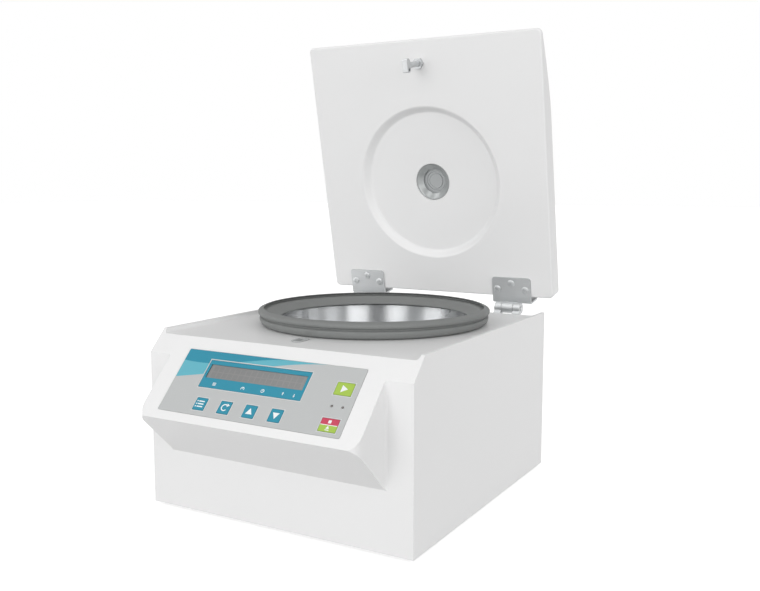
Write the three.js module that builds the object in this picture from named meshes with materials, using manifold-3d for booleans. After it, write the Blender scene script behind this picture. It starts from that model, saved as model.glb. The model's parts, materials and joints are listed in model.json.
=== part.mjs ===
// Hematocrit centrifuge: a bench machine whose hinged lid closes over a round steel bowl,
// in which a flat rotor spins capillary tubes. It stands open here, as its lid rests.
// Millimetres, X to the right, Y to the back and Z up. The origin lies on the table,
// under the middle of the machine's outline.

import * as THREE from 'three';
import { mergeVertices } from 'three/addons/utils/BufferGeometryUtils.js';
import Module from 'manifold-3d';

const wasm = await Module();
wasm.setup();

// Fits and facets
const fitGap = 0.3;
const overrun = 2;
const weldDistance = 0.0001;
const arcSteps = 3;
const smallSides = 16;
const rodSides = 20;
const roundSides = 36;
const largeSides = 48;

// Casing: one white moulding with side walls, a sunk deck, a sloping front and an open back
const caseWidth = 280;
const caseDepth = 299;
const frontHeight = 145.7;
const slopeRun = 19.2;
const slopeRise = 20;
const caseWall = 3.5;
const caseEdge = 2;
const deckDrop = 4.4;
const deckWall = 3;
const deckCove = 4;

// Pod: the wedge that carries the control panel out in front of the casing
const podWidth = 228;
const podReach = 45.4;
const podDrop = 44;
const podCorner = 10;
const podFlare = 3;

// Base plate, rear panel and feet
const baseThickness = 2;
const baseRise = 0.6;
const boardPostHeight = 7;
const boardPostRadius = 3;
const panelThickness = 2.5;
const panelInset = 1;
const footRadius = 11;
const footSoleRadius = 9;
const footHeight = 3.3;
const footInsetX = 30;
const footInsetY = 30;
const ventCount = 9;
const ventWidth = 3;
const ventHeight = 42;
const ventPitch = 8;

// Bowl and its rubber lid seal
const bowlBack = 177;
const bowlRadius = 106;
const bowlWall = 1;
const bowlDepth = 65.3;
const bowlCorner = 8;
const bowlStand = 3.7;
const bowlRim = 3;
const bowlEyeRadius = 24;
const bowlHoleGap = 0.5;
const sealBandRadius = 116.9;
const sealBandHeight = 8.1;
const sealGroove = 1.8;
const sealGrooveDepth = 3.9;
const sealBulgeRadius = 118.4;
const sealMouthRadius = 112.4;
const sealFall = 2.2;
const sealEdge = 0.9;
const sealCavityRadius = 116;
const sealCavityHeight = 2.9;
const sealFlapRadius = 109.2;
const sealLipRadius = 96.6;
const sealHeight = 16.9;
const sealRound = 1.6;
const sealSkin = 1.4;

// Control panel: a flat membrane on the slope, with its display and keys
const overlayWidth = 190;
const overlayHeight = 65;
const overlayTop = 19.6;
const overlayCorner = 1.5;
const overlayThickness = 0.6;
const overlayRecess = 0.8;
const bezelWidth = 109;
const bezelHeight = 28;
const bezelX = -10;
const bezelFromTop = 42.8;
const windowWidth = 103.9;
const windowHeight = 14;
const windowFromTop = 39.9;
const windowThickness = 1.4;
const windowLap = 1.6;
const lcdMargin = 6;
const lcdDepth = 8;
const displayBoardWidth = 176;
const displayBoardHeight = 56;
const boardThickness = 1.6;
const displayPostRadius = 3.5;
const displayPostInset = 6;
const keySize = 12;
const keyPitch = 26.8;
const keyRowX = -52.2;
const keyRowFromTop = 73.5;
const keyThickness = 1.9;
const keyProud = 0.4;
const keyTravel = 0.4;
const keyCorner = 0.8;
const wideKeyWidth = 16.6;
const wideKeyX = 80.9;
const startFromTop = 40.5;
const stopFromTop = 74.5;
const ledRadius = 1.2;
const ledX = 81.3;
const ledPitch = 10.5;
const ledFromTop = 57.2;
const ledProud = 0.2;

// Lid: an inner tray under a crowned cover, turned up on two rear hinges
const lidSideLap = 0.4;
const lidOverhang = 5.8;
const lidThickness = 21;
const lidSkin = 2.5;
const lidCorner = 5;
const lidEdge = 2.5;
const lidFlatLength = 200;
const lidFrontThickness = 4.3;
const lidCrownPower = 1.4;
const crownSteps = 8;
const lidOpenAngle = 78.63 * THREE.MathUtils.DEG2RAD;
const dishRadius = 87;
const dishFloorRadius = 78;
const dishWallDepth = 7.5;
const dishDepth = 10.5;
const dishSteps = 4;

// Sight window in the middle of the lid
const sightRadius = 20.6;
const sightFlangeRadius = 25;
const sightFlange = 1.2;
const sightMouthRadius = 20;
const sightThroatRadius = 14;
const sightConeDepth = 5;
const sightThroatDepth = 1.6;
const lensRadius = 16.7;
const lensThickness = 3;

// Lid hinges
const hingeFromSide = 47;
const hingeBehind = 14.9;
const hingeRise = 4.5;
const knuckleRadius = 6;
const knuckleWidth = 8;
const tongueWidth = 13;
const pinRadius = 2.5;
const pinOverhang = 0.8;
const leafWidth = 45;
const leafLength = 22.3;
const leafTail = 7.5;
const leafThickness = 2;
const leafFlange = 20.5;
const leafCorner = 3;
const hingeStrap = 3;
const hingePlateWidth = 40;
const hingePlateHeight = 30;
const hingePlateDrop = 8;

// Lid latch: a striker on the lid, a slot in the deck and a sliding fork below it
const latchBack = 44.8;
const strikerNeckRadius = 3.25;
const strikerHeadWidth = 6.2;
const strikerHeadHeight = 14.5;
const strikerHeadLength = 9;
const strikerShoulder = 3;
const strikerEyeRadius = 1.5;
const strikerTail = 5.5;
const nutAcross = 12.4;
const nutHeight = 3.2;
const slotWidth = 7.4;
const slotLength = 17;
const slotLip = 1.8;
const slotLipHeight = 0.8;
const slotNeck = 0.9;
const forkThickness = 2;
const forkWidth = 16;
const forkTravel = 8;
const forkSlotDepth = 10;
const forkLength = 23.7;
const forkTabWidth = 10;
const forkTabDrop = 19;
const trayThickness = 2;
const trayWall = 2;
const trayClearance = 1;
const trayFront = 12;
const trayBack = 80;
const coilLength = 40;
const coilWidth = 26;
const coilHeight = 24;
const coilEnd = 38;
const plungerRadius = 4;
const plungerLength = 34;
const plungerTipRadius = 2;
const switchLength = 20;
const switchWidth = 6.4;
const switchHeight = 10.5;
const switchX = 26;

// Rotor and its drive
const rotorRadius = 96;
const rotorWall = 3.5;
const rotorWallHeight = 16.5;
const rotorDiscThickness = 5;
const rotorTableInset = 8;
const rotorTableHeight = 3.5;
const rotorHubRadius = 15;
const rotorTopHubRadius = 13;
const rotorHubDrop = 4;
const rotorClearance = 9;
const rotorHubRise = 2.5;
const tubeCount = 24;
const tubeSlotWidth = 2.6;
const tubeSlotDepth = 2.4;
const tubeSlotInset = 0.8;
const cushionThickness = 2.5;
const cushionHeight = 8.7;
const coverThickness = 2;
const coverOverhang = 0.5;
const knobRadius = 17;
const knobHeight = 16.5;
const knobFlutes = 10;
const knobFluteRadius = 3.4;
const spindleRadius = 5;
const threadRadius = 4;
const threadLength = 15;
const spindleSeat = 9;
const motorRadius = 38;
const motorFlangeRadius = 50;
const motorFlange = 4;
const motorGround = 11.4;
const motorAbove = 17;
const motorNeckRadius = 16;
const motorNeck = 6;
const motorEdge = 2;
const motorPlateRadius = 74;
const motorPlate = 3;
const motorPlateDrop = 36;
const damperCount = 3;
const damperRadius = 9;
const damperWaist = 6.5;
const damperCircle = 62;
const damperShoulder = 8;
const bootFlangeRadius = 28;
const bootFlange = 2;
const bootLip = 2;
const bootWaistRadius = 14;
const bootGap = 0.6;

// Boards and transformer on the base plate
const mainBoardFromSide = 11.5;
const mainBoardFromFront = 8.5;
const mainBoardDepth = 86;
const postInset = 6;
const heatSinkWidth = 62;
const heatSinkDepth = 14;
const heatSinkHeight = 30;
const capacitorRadius = 9;
const capacitorHeight = 28;
const capacitorPitch = 22;
const connectorLength = 26;
const connectorDepth = 9;
const connectorHeight = 11;
const transformerFromSide = 21.5;
const transformerFromBoard = 24;
const transformerFromFront = 16;
const coreWidth = 66;
const coreDepth = 33;
const coreHeight = 55;
const coilLap = 10;

// Mains inlet and switch on the rear panel, placed from its side, seen from behind
const inletFromSide = 52.5;
const inletZ = 36;
const inletFlangeWidth = 48;
const inletFlangeHeight = 38;
const inletFlange = 2.5;
const inletBodyWidth = 28;
const inletBodyHeight = 34;
const inletBodyDepth = 22;
const socketWidth = 24;
const socketHeight = 16.6;
const socketDepth = 15;
const socketBevel = 4.5;
const socketRaise = 6.4;
const contactWidth = 2;
const contactHeight = 5;
const contactLength = 10.5;
const contactPitch = 7;
const fuseWidth = 21;
const fuseHeight = 6.4;
const fuseDepth = 17;
const fuseProud = 1;
const fuseDrop = 9.6;
const rockerFromInlet = 40;
const rockerFrameWidth = 22;
const rockerFrameHeight = 31;
const rockerFrameLip = 2;
const rockerFrameFlange = 1.6;
const rockerFrameDepth = 18;
const rockerWidth = 13;
const rockerHalf = 11;
const rockerCrest = 4.6;
const rockerValley = 2.4;
const rockerSkirt = 1;
const rockerKeel = 5;
const rockerPivotDepth = 2.5;
const rockerGap = 0.6;
const rockerTilt = 9 * THREE.MathUtils.DEG2RAD;

// Places worked out from the sizes above
const caseHeight = frontHeight + slopeRise;
const slopeAngle = Math.atan2(slopeRise, slopeRun);
const slopeRatio = Math.tan(slopeAngle);
const undercutRatio = podDrop / podReach;
const deckTop = caseHeight - deckDrop;
const deckUnder = deckTop - deckWall;
const innerHalfWidth = caseWidth / 2 - caseWall;
const podNoseZ = frontHeight - podReach * slopeRatio;
const podFootZ = podNoseZ - podDrop;
const baseTop = baseRise + baseThickness;
const panelFace = caseDepth - panelInset;
const bowlFloor = deckTop - bowlDepth;
const bowlTop = deckTop + bowlStand;
const sealTop = deckTop + sealHeight;
const lidPlane = sealTop + fitGap;
const lidWidth = caseWidth + 2 * lidSideLap;
const lidRear = caseDepth + lidOverhang;
const lidLength = lidRear - slopeRun;
const hingeY = caseDepth + hingeBehind;
const hingeZ = deckTop + hingeRise;
const dishBack = lidRear - bowlBack;
const strikerBack = lidRear - latchBack;
const forkTop = deckUnder - fitGap;
const forkUnder = forkTop - forkThickness;
const trayTop = forkUnder - fitGap;
const trayUnder = trayTop - trayThickness;
const strikerNeck = lidPlane - trayTop;
const rotorTableRadius = rotorRadius - rotorTableInset;
const tubeSlotStart = rotorTopHubRadius + tubeSlotInset;
const coverBossRadius = rotorTopHubRadius - coverOverhang;
const rotorDiscZ = bowlFloor + rotorClearance;
const rotorTableZ = rotorDiscZ + rotorDiscThickness + rotorTableHeight;
const rotorHubTop = rotorTableZ + rotorHubRise;
const rotorRimZ = rotorDiscZ + rotorWallHeight;
const coverZ = rotorRimZ + fitGap;
const knobZ = coverZ + coverThickness + fitGap;
const spindleTop = knobZ + threadLength - 2 * fitGap;
const motorPlateZ = bowlFloor - motorPlateDrop;
const motorTop = motorPlateZ + motorPlate + fitGap + motorFlange + motorAbove + motorNeck;
const overlayMiddle = -overlayTop - overlayHeight / 2;
const hingeX = caseWidth / 2 - hingeFromSide;
const transformerX = innerHalfWidth - transformerFromSide - coreWidth / 2;
const transformerY = caseWall + transformerFromFront + coilLap + coreDepth / 2;
const mainBoardLeft = mainBoardFromSide - innerHalfWidth;
const mainBoardRight = transformerX - coreWidth / 2 - transformerFromBoard;
const mainBoardWidth = mainBoardRight - mainBoardLeft;
const mainBoardX = (mainBoardLeft + mainBoardRight) / 2;
const mainBoardY = caseWall + mainBoardFromFront + mainBoardDepth / 2;
const inletX = innerHalfWidth - inletFromSide;
const rockerX = inletX - rockerFromInlet;

// Geometry helpers

// The corners of a closed outline, each [x, y, radius], with every radius drawn as an arc.
function softened(corners, steps = arcSteps) {
  const points = [];
  corners.forEach(([x, y, radius = 0], index) => {
    const corner = new THREE.Vector2(x, y);
    if (radius === 0) {
      points.push(corner);
      return;
    }
    const [beforeX, beforeY] = corners.at(index - 1);
    const [afterX, afterY] = corners[(index + 1) % corners.length];
    const toBefore = new THREE.Vector2(beforeX - x, beforeY - y).normalize();
    const toAfter = new THREE.Vector2(afterX - x, afterY - y).normalize();
    const halfAngle = Math.acos(toBefore.dot(toAfter)) / 2;
    const toCentre = toBefore.clone().add(toAfter).normalize();
    const centre = corner.clone().addScaledVector(toCentre, radius / Math.sin(halfAngle));
    const start = corner.clone().addScaledVector(toBefore, radius / Math.tan(halfAngle)).sub(centre);
    const end = corner.clone().addScaledVector(toAfter, radius / Math.tan(halfAngle)).sub(centre);
    const sweep = Math.atan2(start.cross(end), start.dot(end));
    for (let step = 0; step <= steps; step += 1) {
      const spoke = start.clone().rotateAround(new THREE.Vector2(), (sweep * step) / steps);
      points.push(centre.clone().add(spoke));
    }
  });
  return points;
}

function rectangle(width, height, radius = 0, x = 0, y = 0) {
  return softened([
    [x - width / 2, y - height / 2, radius],
    [x + width / 2, y - height / 2, radius],
    [x + width / 2, y + height / 2, radius],
    [x - width / 2, y + height / 2, radius],
  ]);
}

// A stadium: a slot with round ends that runs along Y.
function stadium(width, length) {
  const points = [];
  const centreOffset = (length - width) / 2;
  for (let step = 0; step <= smallSides; step += 1) {
    const half = step < smallSides / 2 ? 1 : -1;
    const angle = (Math.PI * 2 * step) / smallSides;
    const bend = step === smallSides / 2 ? [1, -1] : [half];
    bend.forEach((side) => points.push(new THREE.Vector2(
      (Math.cos(angle) * width) / 2,
      (Math.sin(angle) * width) / 2 + side * centreOffset,
    )));
  }
  return points;
}

function welded(geometry) {
  const bare = new THREE.BufferGeometry();
  bare.setAttribute('position', geometry.getAttribute('position'));
  bare.setIndex(geometry.getIndex());
  const merged = mergeVertices(bare, weldDistance);
  const corners = merged.getIndex().array;
  const kept = [];
  for (let at = 0; at < corners.length; at += 3) {
    const [a, b, c] = corners.slice(at, at + 3);
    if (a !== b && b !== c && c !== a) {
      kept.push(a, b, c);
    }
  }
  merged.setIndex(kept);
  return merged;
}

function signedVolume(geometry) {
  const position = geometry.getAttribute('position');
  const corners = geometry.getIndex().array;
  const [a, b, c] = [new THREE.Vector3(), new THREE.Vector3(), new THREE.Vector3()];
  let volume = 0;
  for (let at = 0; at < corners.length; at += 3) {
    a.fromBufferAttribute(position, corners[at]);
    b.fromBufferAttribute(position, corners[at + 1]);
    c.fromBufferAttribute(position, corners[at + 2]);
    volume += a.dot(b.cross(c)) / 6;
  }
  return volume;
}

// A closed geometry as a solid with its faces pointing out.
function solid(geometry) {
  const closed = welded(geometry);
  if (signedVolume(closed) < 0) {
    closed.setIndex(Array.from(closed.getIndex().array).reverse());
  }
  return new wasm.Manifold(new wasm.Mesh({
    numProp: 3,
    vertProperties: new Float32Array(closed.getAttribute('position').array),
    triVerts: new Uint32Array(closed.getIndex().array),
  }));
}

function geometryOf(body) {
  const mesh = body.getMesh();
  const geometry = new THREE.BufferGeometry();
  geometry.setAttribute('position', new THREE.BufferAttribute(mesh.vertProperties, 3));
  geometry.setIndex(new THREE.BufferAttribute(mesh.triVerts, 1));
  geometry.computeVertexNormals();
  return geometry;
}

const joined = (first, ...others) => others.reduce((whole, part) => whole.add(part), first);
const carved = (first, ...cutters) => cutters.reduce((rest, cutter) => rest.subtract(cutter), first);

// A prism of an outline in the XY plane, from one height to another.
function prism(points, low, high) {
  const geometry = new THREE.ExtrudeGeometry(new THREE.Shape(points), {
    depth: high - low,
    bevelEnabled: false,
  });
  return geometry.translate(0, 0, low);
}

const sideways = new THREE.Matrix4().makeBasis(
  new THREE.Vector3(0, 1, 0),
  new THREE.Vector3(0, 0, 1),
  new THREE.Vector3(1, 0, 0),
);

// A prism along X of an outline of [y, z] points, with its end edges rounded by the given radius.
function crossPrism(points, left, right, edge = 0) {
  const geometry = new THREE.ExtrudeGeometry(new THREE.Shape(points), {
    depth: right - left - 2 * edge,
    bevelEnabled: edge > 0,
    bevelSize: edge,
    bevelThickness: edge,
    bevelOffset: -edge,
    bevelSegments: arcSteps,
  });
  return geometry.translate(0, 0, left + edge).applyMatrix4(sideways);
}

// A turned body about Z from its closed outline of [radius, height] points.
function turned(points, sides) {
  const profile = points.map((point) => (point.isVector2 ? point : new THREE.Vector2(...point)));
  profile.push(profile[0].clone());
  return new THREE.LatheGeometry(profile, sides).rotateX(Math.PI / 2);
}

function rod(radius, low, high, sides = rodSides) {
  return new THREE.CylinderGeometry(radius, radius, high - low, sides)
    .rotateX(Math.PI / 2)
    .translate(0, 0, (low + high) / 2);
}

function rodAlongX(radius, left, right, y, z, sides = rodSides) {
  return new THREE.CylinderGeometry(radius, radius, right - left, sides)
    .rotateZ(Math.PI / 2)
    .translate((left + right) / 2, y, z);
}

function block(width, depth, low, high, x = 0, y = 0) {
  return new THREE.BoxGeometry(width, depth, high - low).translate(x, y, (low + high) / 2);
}

function framed(x, y, z, turnX = 0, turnZ = 0) {
  const frame = new THREE.Group();
  frame.position.set(x, y, z);
  frame.rotation.set(turnX, 0, turnZ);
  frame.updateMatrix();
  return frame;
}

function piece(name, shape, look, frame) {
  const geometry = shape.isBufferGeometry ? geometryOf(solid(shape)) : geometryOf(shape);
  const mesh = new THREE.Mesh(geometry, look());
  mesh.name = name;
  frame.add(mesh);
  return mesh;
}

// Looks
const look = (color, roughness, metalness) => () => (
  new THREE.MeshStandardMaterial({ color, roughness, metalness })
);
const whiteShell = look(0xe8e8e8, 0.45, 0);
const paintedSteel = look(0xd4d6d6, 0.5, 0.1);
const zincSteel = look(0xa9abac, 0.4, 0.9);
const brightSteel = look(0xc9cbcc, 0.22, 1);
const sealRubber = look(0x7a7c7b, 0.8, 0);
const darkRubber = look(0x2b2c2d, 0.85, 0);
const overlayGrey = look(0xc5c7c6, 0.5, 0);
const teal = look(0x4096b0, 0.5, 0);
const displayGrey = look(0x8b8b8a, 0.15, 0);
const keyGreen = look(0xa2c14e, 0.5, 0);
const keyRed = look(0xc03a55, 0.5, 0);
const boardGreen = look(0x2f6b45, 0.6, 0);
const smokyClear = look(0xa3a5a5, 0.1, 0);
const blackPlastic = look(0x202224, 0.5, 0);
const castAluminium = look(0x9fa2a4, 0.45, 0.8);
const anodised = look(0xb9bcbe, 0.35, 0.9);
const copperRed = look(0x8c4a32, 0.5, 0.3);
const ledAmber = look(0xd8a23a, 0.3, 0);

const machine = new THREE.Group();
const panel = framed(0, slopeRun, caseHeight, slopeAngle);
const back = framed(0, panelFace, 0, -Math.PI / 2, Math.PI);
const spin = framed(0, bowlBack, 0);
const latch = framed(0, latchBack, 0);
const lid = framed(0, hingeY, hingeZ, -lidOpenAngle);
const lidFace = framed(0, lidRear - hingeY, lidPlane - hingeZ);
lid.add(lidFace);
machine.add(panel, back, spin, latch, lid);

// Control panel places: X across, Y up the slope from its top edge
const keys = [
  ...['key_program', 'key_select', 'key_up', 'key_down'].map((name, index) => (
    { name, width: keySize, x: keyRowX + index * keyPitch, y: -keyRowFromTop, look: teal })),
  { name: 'key_start', width: wideKeyWidth, x: wideKeyX, y: -startFromTop, look: keyGreen },
  { name: 'key_stop_open', width: wideKeyWidth, x: wideKeyX, y: -stopFromTop, look: keyRed },
];
const leds = ['led_lid', 'led_run'].map((name, index) => (
  { name, x: ledX + (index - 1 / 2) * ledPitch, y: -ledFromTop }));
const keyPocketDepth = keyThickness - keyProud + keyTravel + fitGap;
const windowTop = -overlayRecess;
const windowBottom = windowTop - windowThickness;
const lcdTop = -caseWall - fitGap;
const displayBoardTop = lcdTop - lcdDepth - fitGap;

// Casing

function caseShell() {
  const sideOutline = softened([
    [0, -2 * caseEdge],
    [0, frontHeight],
    [slopeRun, caseHeight],
    [caseDepth, caseHeight, (caseEdge * 5) / 4],
    [caseDepth, -2 * caseEdge],
  ]);
  return solid(crossPrism(sideOutline, -caseWidth / 2, caseWidth / 2, caseEdge));
}

function podShell() {
  const root = caseWall / 2;
  const half = podWidth / 2;
  const sideOutline = softened([
    [0, podFootZ],
    [-podReach, podNoseZ, caseEdge / 2],
    [0, frontHeight],
    [root, frontHeight - root],
    [root, podFootZ],
  ]);
  const planOutline = softened([
    [-half - podFlare, root],
    [-half - podFlare, 0],
    [-half, 0, podFlare],
    [-half, -podReach, podCorner],
    [half, -podReach, podCorner],
    [half, 0, podFlare],
    [half + podFlare, 0],
    [half + podFlare, root],
  ]);
  const wedge = solid(crossPrism(sideOutline, -half - 2 * podFlare, half + 2 * podFlare));
  return wedge.intersect(solid(prism(planOutline, 0, caseHeight)));
}

function caseHollow() {
  const slopeInset = caseWall / Math.cos(slopeAngle);
  const innerSlopeY = (deckUnder - frontHeight + slopeInset) / slopeRatio;
  const outline = [
    [caseWall, -3 * caseEdge],
    [caseWall, frontHeight + caseWall * slopeRatio - slopeInset],
    [innerSlopeY, deckUnder],
    [caseDepth + overrun, deckUnder],
    [caseDepth + overrun, -3 * caseEdge],
  ].map((point) => new THREE.Vector2(...point));
  return solid(crossPrism(outline, -innerHalfWidth, innerHalfWidth));
}

function podHollow() {
  const slopeInset = caseWall * Math.hypot(1, slopeRatio);
  const undercutInset = caseWall * Math.hypot(1, undercutRatio);
  const noseY = (podFootZ - frontHeight + slopeInset + undercutInset) / (slopeRatio + undercutRatio);
  const rootY = caseWall + fitGap;
  const outline = [
    [rootY, podFootZ - caseWall * undercutRatio + undercutInset],
    [noseY, frontHeight + noseY * slopeRatio - slopeInset],
    [rootY, frontHeight + rootY * slopeRatio - slopeInset],
  ].map((point) => new THREE.Vector2(...point));
  const half = podWidth / 2 - caseWall;
  return solid(crossPrism(outline, -half, half));
}

function deckRecess() {
  const outline = softened([
    [-innerHalfWidth, deckTop, deckCove],
    [innerHalfWidth, deckTop, deckCove],
    [innerHalfWidth, caseHeight + overrun],
    [-innerHalfWidth, caseHeight + overrun],
  ]);
  const cutter = prism(outline, 0, caseDepth + 2 * overrun);
  return solid(cutter.rotateX(Math.PI / 2).translate(0, caseDepth + overrun, 0));
}

function panelCuts() {
  const [recessWidth, recessHeight] = [overlayWidth, overlayHeight].map((size) => size + 2 * fitGap);
  const recess = rectangle(recessWidth, recessHeight, overlayCorner, 0, overlayMiddle);
  const cuts = [
    prism(recess, -overlayRecess, overrun),
    block(windowWidth + 2 * windowLap + 2 * fitGap, windowHeight + 2 * windowLap + 2 * fitGap,
      windowBottom - fitGap, 0, bezelX, -windowFromTop),
    block(windowWidth, windowHeight, -2 * caseWall, 0, bezelX, -windowFromTop),
    ...keys.map(({ width, x, y }) => (
      prism(rectangle(width + 2 * fitGap, keySize + 2 * fitGap, keyCorner, x, y), -keyPocketDepth, 0))),
    ...leds.map(({ x, y }) => rod(ledRadius + fitGap, -2 * caseWall, 0, smallSides).translate(x, y, 0)),
  ];
  return cuts.map((cut) => solid(cut.applyMatrix4(panel.matrix)));
}

function displayPosts() {
  const postX = displayBoardWidth / 2 - displayPostInset;
  const postY = displayBoardHeight / 2 - displayPostInset;
  const places = [-postX, postX].flatMap((x) => [-postY, postY].map((y) => [x, overlayMiddle + y]));
  return places.map(([x, y]) => solid(
    rod(displayPostRadius, displayBoardTop + fitGap, -caseWall / 2, smallSides)
      .translate(x, y, 0)
      .applyMatrix4(panel.matrix),
  ));
}

function casing() {
  const outside = joined(caseShell(), podShell());
  const skirt = solid(block(2 * caseWidth, 4 * caseDepth, -caseHeight, 0));
  const bowlHoleRadius = bowlRadius + bowlWall + bowlHoleGap;
  const bowlHole = solid(
    rod(bowlHoleRadius, deckUnder - overrun, caseHeight, largeSides).translate(0, bowlBack, 0),
  );
  const slotHole = solid(
    prism(stadium(slotWidth + 2 * slotNeck + 2 * fitGap, slotLength + 2 * slotNeck + 2 * fitGap),
      deckUnder - overrun, caseHeight).translate(0, latchBack, 0),
  );
  const shell = carved(outside, skirt, caseHollow(), podHollow(), deckRecess(), bowlHole, slotHole);
  return carved(joined(shell, ...displayPosts()), ...panelCuts());
}

piece('casing', casing(), whiteShell, machine);

// Base plate with its board posts, rear panel and feet

const ventPlaces = Array.from({ length: ventCount }, (_, index) => (
  (index - (ventCount - 1) / 2) * ventPitch));
const boardPostPlaces = [-1, 1].flatMap((sideX) => [-1, 1].map((sideY) => [
  mainBoardX + sideX * (mainBoardWidth / 2 - postInset),
  mainBoardY + sideY * (mainBoardDepth / 2 - postInset),
]));

function basePlate() {
  const front = caseWall + fitGap;
  const rear = panelFace - panelThickness - fitGap;
  const width = 2 * innerHalfWidth - 2 * fitGap;
  const plate = block(width, rear - front, baseRise, baseTop, 0, (front + rear) / 2);
  const postLow = baseRise + baseThickness / 2;
  const posts = boardPostPlaces.map(([x, y]) => solid(
    rod(boardPostRadius, postLow, baseTop + boardPostHeight, smallSides).translate(x, y, 0),
  ));
  const vents = ventPlaces.map((x) => solid(block(ventWidth, ventHeight, 0, 2 * baseTop, x, bowlBack)));
  return carved(joined(solid(plate), ...posts), ...vents);
}

function rearPanel() {
  const width = 2 * innerHalfWidth - 2 * fitGap;
  const height = deckUnder - 2 * fitGap;
  const sheet = block(width, height, -panelThickness, 0, 0, fitGap + height / 2);
  const cutouts = [
    [inletBodyWidth + 2 * fitGap, inletBodyHeight + 2 * fitGap, inletX],
    [rockerFrameWidth + 2 * fitGap, rockerFrameHeight + 2 * fitGap, rockerX],
    ...ventPlaces.map((x) => [ventWidth, ventHeight, x - inletX]),
  ].map(([across, up, x]) => block(across, up, -2 * panelThickness, overrun, x, inletZ));
  return carved(solid(sheet), ...cutouts.map(solid));
}

function foot() {
  return turned([
    [0, 0],
    [footSoleRadius, 0],
    [footRadius, footHeight / 2],
    [footRadius, footHeight],
    [0, footHeight],
  ], rodSides);
}

piece('base_plate', basePlate(), paintedSteel, machine);
piece('rear_panel', rearPanel(), paintedSteel, back);
const footPlaces = {
  foot_front_left: [footInsetX - caseWidth / 2, footInsetY],
  foot_front_right: [caseWidth / 2 - footInsetX, footInsetY],
  foot_rear_left: [footInsetX - caseWidth / 2, caseDepth - footInsetY],
  foot_rear_right: [caseWidth / 2 - footInsetX, caseDepth - footInsetY],
};
Object.entries(footPlaces).forEach(([name, [x, y]]) => {
  piece(name, foot(), darkRubber, machine).position.set(x, y, baseRise - fitGap - footHeight);
});

// Bowl and its seal

function bowl() {
  const centreR = bowlRadius - bowlCorner;
  const centreZ = bowlFloor + bowlCorner;
  const rimRadius = bowlRadius + bowlRim;
  const outerCorner = softened([
    [bowlRadius + bowlWall, centreZ],
    [bowlRadius + bowlWall, bowlFloor - bowlWall, bowlCorner + bowlWall],
    [centreR, bowlFloor - bowlWall],
  ]).slice(1, -1);
  const innerCorner = softened([
    [centreR, bowlFloor],
    [bowlRadius, bowlFloor, bowlCorner],
    [bowlRadius, centreZ],
  ]).slice(1, -1);
  return turned([
    [bowlEyeRadius, bowlFloor],
    ...innerCorner,
    [bowlRadius, bowlTop],
    [rimRadius, bowlTop],
    [rimRadius, deckTop + fitGap],
    [rimRadius - bowlWall, deckTop + fitGap],
    [rimRadius - bowlWall, bowlTop - bowlWall],
    [bowlRadius + bowlWall, bowlTop - bowlWall],
    ...outerCorner,
    [bowlEyeRadius, bowlFloor - bowlWall],
  ], largeSides);
}

// The seal grips the bowl's rolled rim. Above its outer band a roll, open to the inside, bears the
// lid, and a thin lip slopes down over the bowl's edge.
function bowlSeal() {
  const gripRadius = bowlRadius + bowlRim + fitGap;
  const foot = deckTop + fitGap;
  const bandTop = foot + sealBandHeight;
  const rollLow = bandTop + sealGroove;
  const grooveRadius = sealBandRadius - sealGrooveDepth;
  const flapTop = sealTop - sealEdge - sealCavityHeight;
  const flapEnd = bowlTop + fitGap + 1.5 * sealSkin;
  const fallPerLength = sealFall / (sealBulgeRadius - sealMouthRadius);
  const cavityTop = sealTop - sealEdge - fallPerLength * (sealCavityRadius - sealMouthRadius);
  return turned([
    [gripRadius, foot],
    [grooveRadius, foot],
    ...softened([
      [grooveRadius, foot],
      [sealBandRadius, foot, sealRound],
      [sealBandRadius, bandTop, sealRound],
      [grooveRadius, bandTop],
    ], Math.ceil(arcSteps / 2)).slice(1, -1),
    [grooveRadius, bandTop],
    [grooveRadius, rollLow],
    ...softened([
      [grooveRadius, rollLow],
      [sealBulgeRadius, rollLow, sealRound],
      [sealBulgeRadius, sealTop - sealFall, sealRound],
      [sealMouthRadius, sealTop, sealEdge / 2],
      [sealMouthRadius, sealTop - sealEdge],
    ], Math.ceil(arcSteps / 2)).slice(1),
    [sealCavityRadius, cavityTop],
    [sealCavityRadius, flapTop],
    [sealFlapRadius, flapTop],
    [sealLipRadius, flapEnd],
    [sealLipRadius + sealSkin / 2, flapEnd - sealSkin],
    [bowlRadius + fitGap, flapTop - 2 * sealSkin],
    [bowlRadius + fitGap, bowlTop + fitGap],
    [gripRadius, bowlTop + fitGap],
  ], largeSides);
}

piece('bowl', bowl(), brightSteel, spin);
piece('bowl_seal', bowlSeal(), sealRubber, spin);

// Control panel

function overlay() {
  const sheetTop = overlayThickness + fitGap - overlayRecess;
  const sheetLow = fitGap - overlayRecess;
  const plan = rectangle(overlayWidth, overlayHeight, overlayCorner, 0, overlayMiddle);
  const sheet = prism(plan, sheetLow, sheetTop);
  const cutouts = [
    block(bezelWidth + 2 * fitGap, bezelHeight + 2 * fitGap, -overrun, overrun, bezelX, -bezelFromTop),
    ...keys.map(({ width, x, y }) => (
      prism(rectangle(width + 2 * fitGap, keySize + 2 * fitGap, keyCorner, x, y), -overrun, overrun))),
    ...leds.map(({ x, y }) => rod(ledRadius + fitGap, -overrun, overrun, smallSides).translate(x, y, 0)),
  ];
  return carved(solid(sheet), ...cutouts.map(solid));
}

function displayBezel() {
  const low = fitGap - overlayRecess;
  const plate = block(bezelWidth, bezelHeight, low, low + overlayThickness, bezelX, -bezelFromTop);
  const opening = block(windowWidth, windowHeight, -overrun, overrun, bezelX, -windowFromTop);
  return carved(solid(plate), solid(opening));
}

function displayWindow() {
  const width = windowWidth + 2 * windowLap;
  const height = windowHeight + 2 * windowLap;
  return block(width, height, windowBottom, windowTop, bezelX, -windowFromTop);
}

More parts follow.
